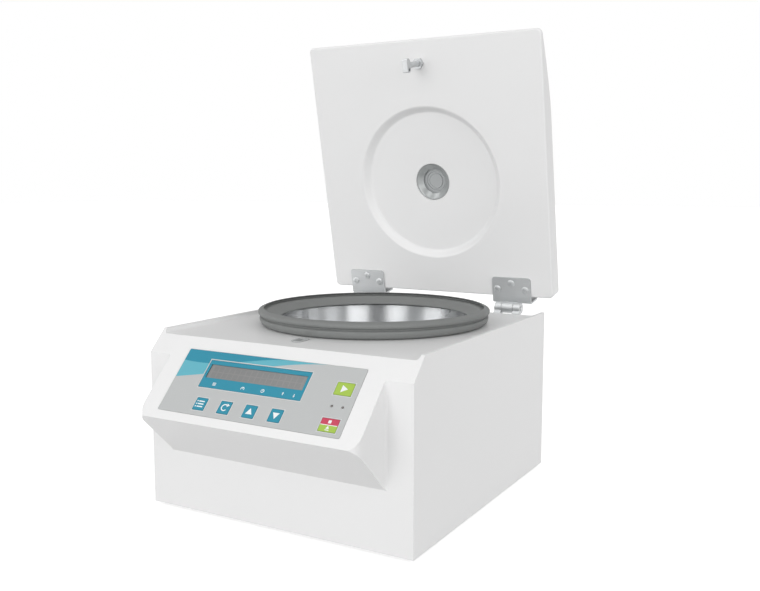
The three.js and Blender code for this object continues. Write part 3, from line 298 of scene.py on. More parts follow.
def turned(profile: Sequence[Point], sides: int = 96, axis: Axis = Axis.Z) -> Solid:
    """Turns a closed profile about an axis.

    Args:
        profile: points of (radius, place along the axis).
        sides: how many facets go round.
        axis: the axis it turns about.

    Returns:
        The turned shape.
    """
    mesh = bmesh.new()
    rings = []
    for radius, along in profile:
        if radius < 1e-6:
            rings.append([mesh.verts.new(axis.point(0, 0, along))] * sides)
            continue
        angles = [2 * math.pi * i / sides for i in range(sides)]
        rings.append([mesh.verts.new(axis.point(radius * math.cos(a), radius * math.sin(a), along)) for a in angles])
    for index, ring in enumerate(rings):
        after = rings[(index + 1) % len(rings)]
        for i in range(sides):
            j = (i + 1) % sides
            corners = list(dict.fromkeys((ring[i], ring[j], after[j], after[i])))
            if len(corners) > 2:
                mesh.faces.new(corners)
    return shape("turned", mesh)


def rod(radius: float, low: float, high: float, axis: Axis = Axis.Z, sides: int = 32) -> Solid:
    """Returns a plain round bar, used to cut holes or to be joined to others."""
    return turned([(0, low), (radius, low), (radius, high), (0, high)], sides, axis)


def moved(obj: Solid, matrix: Matrix) -> Solid:
    """Returns the shape after its mesh was moved."""
    obj.data.transform(matrix)
    return obj


def shifted(obj: Solid, x: float = 0.0, y: float = 0.0, z: float = 0.0) -> Solid:
    """Returns the shape after its mesh was shifted."""
    return moved(obj, Matrix.Translation((x, y, z)))


def baked(obj: Solid) -> Solid:
    """Turns a shape's modifiers into plain mesh.

    Args:
        obj: the shape.

    Returns:
        The same object with no modifiers.
    """
    graph = bpy.context.evaluated_depsgraph_get()
    mesh = bpy.data.meshes.new_from_object(obj.evaluated_get(graph), depsgraph=graph)
    obj.modifiers.clear()
    old, obj.data = obj.data, mesh
    bpy.data.meshes.remove(old)
    return obj


def combined(obj: Solid, tools: Iterable[Solid], operation: str) -> Solid:
    """Joins shapes to a shape, or cuts them from it.

    Args:
        obj: the shape that is kept.
        tools: the shapes that are used up.
        operation: UNION, DIFFERENCE or INTERSECT.

    Returns:
        The changed shape.
    """
    used = list(tools)
    for tool in used:
        modifier = obj.modifiers.new("combine", "BOOLEAN")
        modifier.operation = operation
        modifier.solver = "EXACT"
        modifier.object = tool
    baked(obj)
    for tool in used:
        bpy.data.objects.remove(tool)
    return obj


def joined(obj: Solid, *tools: Solid) -> Solid:
    """Returns the shape with the others joined to it."""
    return combined(obj, tools, "UNION")


def carved(obj: Solid, *tools: Solid) -> Solid:
    """Returns the shape with the others cut from it."""
    return combined(obj, tools, "DIFFERENCE")


def tidied(obj: Solid, degrees: float = 0.6) -> Solid:
    """Merges doubles and the faces that lie in one plane.

    Args:
        obj: the shape.
        degrees: the largest bend that still counts as flat.

    Returns:
        The same shape.
    """
    mesh = bmesh.new()
    mesh.from_mesh(obj.data)
    bmesh.ops.remove_doubles(mesh, verts=mesh.verts, dist=MERGED)
    bmesh.ops.dissolve_limit(mesh, angle_limit=math.radians(degrees), verts=mesh.verts, edges=mesh.edges)
    mesh.to_mesh(obj.data)
    mesh.free()
    return obj


def edged(obj: Solid, width: float, segments: int = 3, angle: float = 30.0,
          pick: Callable[[Vector], float] | None = None) -> Solid:
    """Rounds the edges of a shape.

    Args:
        obj: the shape.
        width: the rounding, in millimetres.
        segments: how many faces go round an edge.
        angle: edges that bend less than this many degrees stay.
        pick: gives an edge's share of the width from its middle.

    Returns:
        The same shape, with the rounding in its mesh.
    """
    modifier = obj.modifiers.new("edge", "BEVEL")
    modifier.width = width
    modifier.segments = segments
    modifier.angle_limit = math.radians(angle)
    modifier.miter_outer = "MITER_ARC" if pick is None else "MITER_SHARP"
    if pick is not None:
        mesh = bmesh.new()
        mesh.from_mesh(obj.data)
        weights = mesh.edges.layers.float.new("bevel_weight_edge")
        for edge in mesh.edges:
            if len(edge.link_faces) == 2 and edge.calc_face_angle() > math.radians(angle):
                first, last = edge.verts
                edge[weights] = pick((first.co + last.co) / 2)
        mesh.to_mesh(obj.data)
        mesh.free()
        modifier.limit_method = "WEIGHT"
    return baked(obj)


# Node trees


class Nodes:
    """Short ways to add nodes, links and sums to a node tree."""

    def __init__(self, tree: bpy.types.NodeTree) -> None:
        """Keeps the tree that the nodes go into."""
        self.tree = tree

    def feed(self, node: bpy.types.Node, feeds: Feeds) -> None:
        """Sets inputs of a node.

        Args:
            node: the node.
            feeds: a value, or a socket that is linked, for each input.
        """
        for name, feed in feeds.items():
            if isinstance(feed, Socket):
                self.tree.links.new(feed, node.inputs[name])
            else:
                node.inputs[name].default_value = feed

    def add(self, kind: str, feeds: Feeds | None = None, **settings: str) -> bpy.types.Node:
        """Adds a node.

        Args:
            kind: the node's type.
            feeds: a value, or a socket that is linked, for each input.
            settings: its other properties.

        Returns:
            The new node.
        """
        node = self.tree.nodes.new(kind)
        for name, setting in settings.items():
            setattr(node, name, setting)
        self.feed(node, feeds or {})
        return node

    def sum(self, operation: str, a: Socket | float, b: Socket | float) -> Socket:
        """Returns the result of a sum of two values."""
        return self.add("ShaderNodeMath", {0: a, 1: b}, operation=operation).outputs["Value"]


# Finishes


class Grain(Enum):
    """How the detail of a finish runs."""

    EVEN = "even"
    TURNED = "turned"
    ALONG_X = "along x"
    CELLS = "cells"
    LAYERS = "layers"


COAT_ROUGHNESS = 0.08
LEAST_ROUGHNESS = 0.02
BROAD_SCALE = 14.0  # how many broad patches lie on a metre
BROAD_SHARE = 0.4  # how much of the colour's change is broad
STRETCHES = {Grain.ALONG_X: (0.02, 1.0, 1.0), Grain.LAYERS: (1.0, 0.02, 0.02)}
LINES_ROUND = 1.5  # how much the turned detail changes with a radian round the axis


def linear(colour: str) -> list[float]:
    """Returns a written colour as linear values."""
    parts = [int(colour[i:i + 2], 16) / 255 for i in (0, 2, 4)]
    return [p / 12.92 if p <= 0.04045 else ((p + 0.055) / 1.055) ** 2.4 for p in parts]


@dataclass(frozen=True)
class Finish:
    """A surface finish and the material slot of the record that it belongs to.

    The size of its fine detail is in millimetres, and relief says how strongly that stands out. The colour varies
    by the share in tint, and the roughness by spread.
    """

    name: str
    slot: str
    colour: str
    roughness: float
    metallic: float = 0.0
    grain: Grain = Grain.EVEN
    size: float = 0.5
    relief: float = 0.08
    tint: float = 0.03
    spread: float = 0.06
    coat: float = 0.0
    brushed: float = 0.0

    def material(self) -> bpy.types.Material:
        """Returns this finish's material, made on its first use."""
        found = bpy.data.materials.get(self.name)
        return found if found is not None else self._make()

    def _make(self) -> bpy.types.Material:
        """Builds the node tree.

        Returns:
            The new material.
        """
        material = bpy.data.materials.new(self.name)
        material.use_nodes = True
        nodes = Nodes(material.node_tree)
        shader = nodes.tree.nodes["Principled BSDF"]
        place = nodes.add("ShaderNodeTexCoord").outputs["Object"]
        fine = self._fine(nodes, self._vector(nodes, shader, place))
        broad = nodes.add("ShaderNodeTexNoise", {"Vector": place, "Scale": BROAD_SCALE, "Detail": 2.0}).outputs["Fac"]
        rough = nodes.add("ShaderNodeMapRange", {
            "Value": broad, "To Min": max(LEAST_ROUGHNESS, self.roughness - self.spread),
            "To Max": self.roughness + self.spread,
        })
        bump = nodes.add("ShaderNodeBump", {"Height": fine, "Strength": self.relief, "Distance": self.size * MM})
        nodes.feed(shader, {
            "Base Color": self._colour(nodes, fine, broad), "Metallic": self.metallic,
            "Roughness": rough.outputs["Result"], "Normal": bump.outputs["Normal"],
            "Coat Weight": self.coat, "Coat Roughness": COAT_ROUGHNESS,
        })
        return material

    def _vector(self, nodes: Nodes, shader: bpy.types.Node, place: Socket) -> Socket:
        """Builds the coordinates that the fine detail reads.

        Args:
            nodes: the material's nodes.
            shader: the surface shader, which takes the brushing.
            place: the place on the object.

        Returns:
            The coordinates.
        """
        if self.grain in STRETCHES:
            return nodes.add("ShaderNodeMapping", {"Vector": place, "Scale": STRETCHES[self.grain]}).outputs["Vector"]
        if self.grain is not Grain.TURNED:
            return place
        centre = PLACES.row() @ Vector((0, PLACES.bowl_back, 0))
        about = nodes.add("ShaderNodeMapping", {"Vector": place, "Location": (0, -centre.y, 0)})
        apart = nodes.add("ShaderNodeSeparateXYZ", {"Vector": about.outputs["Vector"]}).outputs
        flat = nodes.add("ShaderNodeCombineXYZ", {"X": apart["X"], "Y": apart["Y"]})
        length = nodes.add("ShaderNodeVectorMath", {0: flat.outputs["Vector"]}, operation="LENGTH").outputs["Value"]
        angle = nodes.sum("ARCTAN2", apart["Y"], apart["X"])
        if self.brushed:
            along = nodes.add("ShaderNodeCombineXYZ", {"X": nodes.sum("MULTIPLY", apart["Y"], -1.0), "Y": apart["X"]})
            nodes.feed(shader, {"Anisotropic": self.brushed, "Anisotropic Rotation": 0.25,
                                "Tangent": along.outputs["Vector"]})
        per_line = 1 / (self.size * MM)
        polar = {name: nodes.sum("MULTIPLY", source, scale) for name, source, scale in
                 (("X", length, per_line), ("Y", apart["Z"], per_line), ("Z", angle, LINES_ROUND))}
        return nodes.add("ShaderNodeCombineXYZ", polar).outputs["Vector"]

    def _fine(self, nodes: Nodes, vector: Socket) -> Socket:
        """Adds the fine detail, which is noise or small cells.

        Args:
            nodes: the material's nodes.
            vector: the coordinates that it reads.

        Returns:
            Its value.
        """
        feeds: Feeds = {"Vector": vector, "Scale": 1.0 if self.grain is Grain.TURNED else 1 / (self.size * MM)}
        if self.grain is Grain.CELLS:
            return nodes.add("ShaderNodeTexVoronoi", feeds, distance="CHEBYCHEV").outputs["Distance"]
        return nodes.add("ShaderNodeTexNoise", feeds | {"Detail": 3.0}).outputs["Fac"]

    def _colour(self, nodes: Nodes, fine: Socket, broad: Socket) -> Socket:
        """Varies the colour a little with the fine and the broad detail.

        Args:
            nodes: the material's nodes.
            fine: the fine detail.
            broad: the broad detail.

        Returns:
            The colour.
        """
        both = nodes.add("ShaderNodeMix", {"Factor": BROAD_SHARE, "A": fine, "B": broad})
        ramp = nodes.add("ShaderNodeValToRGB", {"Fac": both.outputs["Result"]})
        for element, place, share in zip(ramp.color_ramp.elements, (0.3, 0.7), (1 - self.tint, 1 + self.tint)):
            element.position = place
            element.color = (*[min(1.0, c * share) for c in linear(self.colour)], 1.0)
        return ramp.outputs["Color"]


def film(name: str, slot: str, colour: str, relief: float = 0.05, tint: float = 0.03) -> Finish:
    """Returns a finish of the panel's film or of the print on it."""
    return Finish(name, slot, colour, 0.42, size=0.25, relief=relief, tint=tint)


WHITE_SHELL = Finish("white_moulding", "white_shell", "ebebeb", 0.38, size=0.35, relief=0.05, tint=0.006, coat=0.12)
GREY_POWDER = Finish("grey_powder_coat", "painted_steel", "d4d6d6", 0.5, size=0.5, relief=0.22, tint=0.02)
BLACK_RUBBER = Finish("black_rubber", "rubber_dark", "2b2c2d", 0.75, size=0.4, relief=0.2, tint=0.12)
BOWL_STEEL = Finish("spun_steel", "bright_steel", "ecedee", 0.27, 1.0, Grain.TURNED, 0.35, 0.04, 0.03, 0.03,
                    brushed=1.0)
SEAL_RUBBER = Finish("grey_seal_rubber", "seal_rubber", "7b7d7c", 0.62, size=0.35, relief=0.16, tint=0.06)
PANEL_GREY = film("panel_film_grey", "overlay_grey", "b9bbbb", tint=0.012)
PANEL_TEAL = film("panel_print_teal", "teal_print", "16869f")
PANEL_PALE = film("panel_print_pale_teal", "teal_print", "5cadbd")
PANEL_WHITE = film("panel_print_white", "overlay_grey", "eef0f0", 0.04, 0.01)
PANEL_LINE = film("panel_print_line", "overlay_grey", "d2d5d5", 0.04, 0.01)
KEY_GREEN = film("key_print_green", "key_green", "9fbe48")
KEY_RED = film("key_print_red", "key_red", "c03a55")
DISPLAY = Finish("display_glass_grey", "display_grey", "8a8a89", 0.18, size=0.45, relief=0.02, tint=0.09, coat=0.5)
DISPLAY_DARK = Finish("display_cell_grey", "display_grey", "838484", 0.2, size=0.45, relief=0.02, tint=0.08, coat=0.5)
LAMP = Finish("lamp_smoke", "lamp_amber", "6b6660", 0.15, size=0.3, relief=0.02, coat=0.6)
ZINC = Finish("zinc_plated_steel", "zinc_steel", "cbcdce", 0.5, 0.85, Grain.ALONG_X, 0.3, 0.1, 0.06, 0.08)
SCREW_STEEL = Finish("screw_steel", "zinc_steel", "c8cacb", 0.3, 0.95, size=0.3, relief=0.05, tint=0.04)
ANODISED = Finish("anodised_turned", "anodised", "b9bcbe", 0.3, 0.9, Grain.TURNED, 0.3, 0.08, 0.04)
CAST = Finish("cast_aluminium", "cast_aluminium", "9fa2a4", 0.45, 0.85, size=0.8, relief=0.3, tint=0.08)
BLACK_PLASTIC = Finish("black_moulding", "black_plastic", "232527", 0.42, size=0.3, relief=0.14, tint=0.1)
BOARD = Finish("green_board", "board_green", "2f6b45", 0.4, 0.0, Grain.CELLS, 1.6, 0.2, 0.22)
WINDING = Finish("varnished_winding", "winding_steel", "8c4a32", 0.4, 0.2, Grain.LAYERS, 0.6, 0.3, 0.25, coat=0.3)
SIGHT_GREY = Finish("sight_ring_grey", "overlay_grey", "a9acac", 0.28, 0.22, size=0.3, relief=0.05, tint=0.03,
                    coat=0.2)
LENS = Finish("sight_lens_smoke", "smoky_clear", "a5a8a9", 0.12, size=0.5, relief=0.01, tint=0.02, coat=0.8)


def finished(obj: Solid, name: str, finish: Finish, body: str, *nodes: str, sharp: float = SHARP) -> Solid:
    """Turns a shape into a finished piece of the model.

    Args:
        obj: the shape, in millimetres in the machine's frame.
        name: the piece's name.
        finish: its finish.
        body: the body that it rides on.
        nodes: the solids that it stands for.
        sharp: edges that bend more than this many degrees stay sharp.

    Returns:
        The finished piece.
    """
    obj.data.transform(PLACES.row())
    obj.data.shade_smooth()
    obj.data.set_sharp_from_angle(angle=math.radians(sharp))
    normals = obj.modifiers.new("normals", "WEIGHTED_NORMAL")
    normals.keep_sharp = True
    baked(obj)
    obj.name = name
    obj.data.name = name
    obj.data.materials.clear()
    obj.data.materials.append(finish.material())
    obj.data.update()
    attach(obj, body)
    if nodes:
        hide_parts(*nodes)
    LOG.info("%s: %d faces on %s", name, len(obj.data.polygons), body)
    return obj


# Repeated pieces


class Layout(Enum):
    """Where the copies of a template stand."""

    POINTS = "points"
    GRID = "grid"
    RING = "ring"


class Repeater:
    """A Geometry Nodes tree that repeats a template on points, on a grid or on a ring."""

    def __init__(self, layout: Layout) -> None:
        """Builds the tree.

        Args:
            layout: where the copies stand.
        """
        self.layout = layout
        self.tree = bpy.data.node_groups.new(f"copies on {layout.value}", "GeometryNodeTree")
        self.nodes = Nodes(self.tree)
        self.sockets: dict[str, str] = {}
        inputs = {"Geometry": "Geometry", "Template": "Object", "Finish": "Material"}
        if layout is Layout.GRID:
            inputs |= {"Columns": "Int", "Rows": "Int", "Pitch across": "Float", "Pitch along": "Float"}
        if layout is Layout.RING:
            inputs |= {"Count": "Int", "Radius": "Float"}
        for name, kind in inputs.items():
            socket = self.tree.interface.new_socket(name, in_out="INPUT", socket_type=f"NodeSocket{kind}")
            self.sockets[name] = socket.identifier
        self.tree.interface.new_socket("Geometry", in_out="OUTPUT", socket_type="NodeSocketGeometry")
        self._link()

    def _link(self) -> None:
        """Links the template, the points and the finish."""
        given = self.nodes.add("NodeGroupInput")
        info = self.nodes.add("GeometryNodeObjectInfo", {"Object": given.outputs["Template"]})
        place = self.nodes.add("GeometryNodeInstanceOnPoints", {
            "Instance": info.outputs["Geometry"], **self._points(given),
        })
        real = self.nodes.add("GeometryNodeRealizeInstances", {"Geometry": place.outputs["Instances"]})
        paint = self.nodes.add("GeometryNodeSetMaterial", {
            "Geometry": real.outputs["Geometry"], "Material": given.outputs["Finish"],
        })
        self.nodes.add("NodeGroupOutput", {"Geometry": paint.outputs["Geometry"]})

    def _points(self, given: bpy.types.Node) -> Feeds:
        """Makes the points that the copies stand on.

        Args:
            given: the tree's inputs.

        Returns:
            What gives the copies their places and turns.
        """
        if self.layout is Layout.POINTS:
            return {"Points": given.outputs["Geometry"]}
        if self.layout is Layout.GRID:
            sizes: Feeds = {}
            for count, pitch, way in (("Columns", "Pitch across", "X"), ("Rows", "Pitch along", "Y")):
                gaps = self.nodes.sum("SUBTRACT", given.outputs[count], 1.0)
                sizes[f"Size {way}"] = self.nodes.sum("MULTIPLY", gaps, given.outputs[pitch])
                sizes[f"Vertices {way}"] = given.outputs[count]
            return {"Points": self.nodes.add("GeometryNodeMeshGrid", sizes).outputs["Mesh"]}
        count = given.outputs["Count"]
        ring = self.nodes.add("GeometryNodeMeshCircle", {"Vertices": count, "Radius": given.outputs["Radius"]})
        share = self.nodes.sum("DIVIDE", self.nodes.add("GeometryNodeInputIndex").outputs["Index"], count)
        turn = self.nodes.add("ShaderNodeCombineXYZ", {"Z": self.nodes.sum("MULTIPLY", share, 2 * math.pi)})
        return {"Points": ring.outputs["Mesh"], "Rotation": turn.outputs["Vector"]}

    def copies(self, template: Solid, finish: Finish, points: Sequence[Point] = (), **inputs: float) -> Solid:
        """Makes the copies as one plain mesh.

        Args:
            template: the shape that is repeated, which is used up.
            finish: the finish of the copies.
            points: where they stand, for a tree that takes points.
            inputs: the named sizes of the tree, with underscores for spaces.

        Returns:
            The copies as one shape.
        """
        mesh = bpy.data.meshes.new("copies")
        mesh.from_pydata([tuple(p) for p in points], [], [])
        obj = added("copies", mesh)
        modifier = obj.modifiers.new("copies", "NODES")
        modifier.node_group = self.tree
        modifier[self.sockets["Template"]] = template
        modifier[self.sockets["Finish"]] = finish.material()
        for name, value in inputs.items():
            modifier[self.sockets[name.replace("_", " ")]] = value
        baked(obj)
        bpy.data.objects.remove(template)
        return obj


ON_POINTS = Repeater(Layout.POINTS)
ON_GRID = Repeater(Layout.GRID)
ON_RING = Repeater(Layout.RING)


def screw_head(radius: float = 3.1, height: float = 1.5, cross: float = 3.4, bar: float = 0.75,
               sunk: float = 0.4) -> Solid:
    """Makes a domed screw head with a cross recess, standing on Z zero.

    Args:
        radius: the head's radius.
        height: the head's height.
        cross: how long the cross is.
        bar: how wide its bars are.
        sunk: how far the head's foot reaches below.

    Returns:
        The head.
    """
    dome = [(radius * math.cos(a), height * (0.35 + 0.65 * math.sin(a))) for a in
            (math.radians(90 * i / 6) for i in range(7))]
    head = turned([(0, -sunk), (radius * 0.98, -sunk), (radius, 0)] + dome, 32)
    bars = [box(*sides, height * 0.45, height + 1) for sides in ((cross, bar), (bar, cross))]
    return carved(head, *bars)


def hung(obj: Solid) -> Solid:
    """Mirrors a shape at Z zero, so that what stood on it hangs from it.

    Args:
        obj: the shape.

    Returns:
        The same shape, with its faces still pointing out.
    """
    moved(obj, Matrix.Diagonal((1, 1, -1, 1)))
    obj.data.flip_normals()
    return obj


def vent_cutter(count: int, x: float, y: float, width: float = 3.0, length: float = 42.0,
                pitch: float = 8.0) -> Solid:
    """Makes the cutter of a row of vent slots, through a sheet near Z zero.

    Args:
        count: how many slots there are.
        x: the row's middle.
        y: the slots' middle.
        width: how wide a slot is.
        length: how long a slot is.
        pitch: how far one slot lies from the next.

    Returns:
        The cutter.
    """
    slot = prism(stadium(width, length, 8), -5, 5)
    row = ON_GRID.copies(slot, GREY_POWDER, Columns=count, Rows=1, Pitch_across=pitch, Pitch_along=1.0)
    return shifted(row, x, y)


# Sub-assemblies


class Placed:
    """A sub-assembly whose pieces are all made in one frame and then moved to their place."""

    def place(self) -> Matrix:
        """Returns that frame."""
        raise NotImplementedError

    def _on(self, obj: Solid, name: str, finish: Finish, body: str, *nodes: str, sharp: float = SHARP) -> None:
        """Moves a shape to its place and finishes it there."""
        finished(moved(obj, self.place()), name, finish, body, *nodes, sharp=sharp)


@dataclass
class Casing:
    """The white casing with its sloping front, its control pod and its sunk deck.

    The shares at the end say how much of the widest rounding each kind of edge takes.
    """

    width: float = 280.0
    wall: float = 3.5
    deck_wall: float = 3.0
    cove: float = 4.0
    pod_width: float = 228.0
    pod_reach: float = 45.4
    pod_drop: float = 44.0
    pod_corner: float = 10.0
    pod_flare: float = 3.0
    pod_root: float = 1.75
    bowl_hole: float = 107.5
    slot: tuple[float, float] = (9.8, 19.4)
    widest_edge: float = 7.0
    foot_share: float = 1.0
    nose_share: float = 0.5
    pod_share: float = 0.32
    side_share: float = 0.3
    deck_share: float = 0.15
    rear_share: float = 0.08

    @property
    def rise(self) -> float:
        """Returns how steeply the slope climbs."""
        return (PLACES.height - PLACES.front_height) / PLACES.slope_run

    @property
    def nose(self) -> float:
        """Returns the height of the pod's nose."""
        return PLACES.front_height - self.pod_reach * self.rise

    @property
    def pod_foot(self) -> float:
        """Returns the height at which the pod's underside meets the front."""
        return self.nose - self.pod_drop

    def outside(self) -> Solid:
        """Makes the casing's outer form with all its rounded edges.

        Returns:
            The solid form, still without its hollow.
        """
        depth, height = PLACES.depth, PLACES.height
        side = [(0, 0), (0, PLACES.front_height), (PLACES.slope_run, height), (depth, height), (depth, 0)]
        body = prism(side, -self.width / 2, self.width / 2, Axis.X)
        half, flare, root = self.pod_width / 2, self.pod_flare, self.pod_root
        wedge_side = [(0, self.pod_foot), (-self.pod_reach, self.nose), (0, PLACES.front_height),
                      (root, PLACES.front_height - root), (root, self.pod_foot)]
        wedge = prism(wedge_side, -half - 2 * flare, half + 2 * flare, Axis.X)
        plan = softened([
            (-half - flare, root), (-half - flare, 0), (-half, 0, flare), (-half, -self.pod_reach, self.pod_corner),
            (half, -self.pod_reach, self.pod_corner), (half, 0, flare), (half + flare, 0), (half + flare, root),
        ], 10)
        wedge = combined(wedge, [prism(plan, 0, height + 20)], "INTERSECT")
        inner = self.width / 2 - self.wall
        recess = softened([(-inner, PLACES.deck, self.cove), (inner, PLACES.deck, self.cove),
                           (inner, height + PAST), (-inner, height + PAST)], 7)
        body = carved(joined(body, wedge), prism(recess, -PAST, depth + PAST, Axis.Y))
        return edged(tidied(body), self.widest_edge, 4, 22.0, self._edge_share)

    def _edge_share(self, middle: Vector) -> float:
        """Gives the share of the widest rounding that an edge of the outer form takes.

        Args:
            middle: the edge's middle.

        Returns:
            A share from 0 to 1.
        """
        x, y, z = abs(middle.x), middle.y, middle.z
        if z < 0.5:
            return 0.0
        if y > PLACES.depth - 0.5:
            return self.rear_share
        if abs(y) < 0.3 and abs(z - self.pod_foot) < 0.5:
            return self.foot_share
        if y < -self.pod_reach + 0.3 and abs(z - self.nose) < 0.5:
            return self.nose_share
        if y < 0.5 and x < self.pod_width / 2 + self.pod_flare + 1:
            return self.pod_share
        return self.side_share if x > self.width / 2 - 0.5 else self.deck_share

    def hollow(self) -> list[Solid]:
        """Makes the cutters of the hollow behind the walls, the deck and the pod.

        Returns:
            The cutters.
        """
        out, low = PLACES.depth + 5, -PAST
        under = PLACES.deck - self.deck_wall
        inset = self.wall / math.cos(math.radians(PLACES.slope))
        top = (under - PLACES.front_height + inset) / self.rise
        side = [(self.wall, low), (self.wall, PLACES.front_height + self.wall * self.rise - inset),
                (top, under), (out, under), (out, low)]
        inner = self.width / 2 - self.wall
        fall = self.pod_drop / self.pod_reach
        up, down = self.wall * math.hypot(1, self.rise), self.wall * math.hypot(1, fall)
        tip = (self.pod_foot - PLACES.front_height + up + down) / (self.rise + fall)
        root = self.wall + FIT
        pod = [(root, self.pod_foot - self.wall * fall + down),
               (tip, PLACES.front_height + tip * self.rise - up),
               (root, PLACES.front_height + root * self.rise - up)]
        pod_half = self.pod_width / 2 - self.wall
        return [prism(side, -inner, inner, Axis.X), prism(pod, -pod_half, pod_half, Axis.X)]

    def build(self, panel: "ControlPanel") -> None:
        """Makes the casing.

        Args:
            panel: the control panel, whose recesses are cut here.
        """
        hole = moved(rod(self.bowl_hole, *THROUGH_DECK, sides=ROUND), PLACES.spin())
        slot = moved(prism(stadium(*self.slot), *THROUGH_DECK), PLACES.latch())
        body = carved(self.outside(), *self.hollow())
        body = carved(body, hole, slot, *panel.cutters())
        finished(body, "casing_shell", WHITE_SHELL, "machine", "casing", sharp=40)


@dataclass
class Key:
    """One key of the panel: where it is, what it looks like and the signs on it."""

    body: str
    node: str
    x: float
    down: float
    width: float
    finish: Finish
    signs: list[Outline] = field(default_factory=list)


def ring_sign(radius: float, thickness: float, start: float = 0.0, end: float = 359.0, x: float = 0.0,
              y: float = 0.0) -> Outline:
    """Draws a ring, or a part of one, as one closed outline.

    Args:
        radius: its outer radius.
        thickness: how thick its line is.
        start: the angle it starts at, in degrees.
        end: the angle it ends at, in degrees.
        x: its middle.
        y: its middle.

    Returns:
        The outline.
    """
    outer = arc((x, y), radius, start, end, 28)
    inner = arc((x, y), radius - thickness, end, start, 28)
    return outer + inner


def bar_sign(width: float, height: float, x: float = 0.0, y: float = 0.0) -> Outline:
    """Returns a bar about (x, y)."""
    return rectangle(width, height, 0, x, y)


def arrow_sign(size: float, turn: float, x: float = 0.0, y: float = 0.0) -> Outline:
    """Returns a triangle that points up, turned by some degrees, about (x, y)."""
    return arc((x, y), size, 90 + turn, 330 + turn, 2)


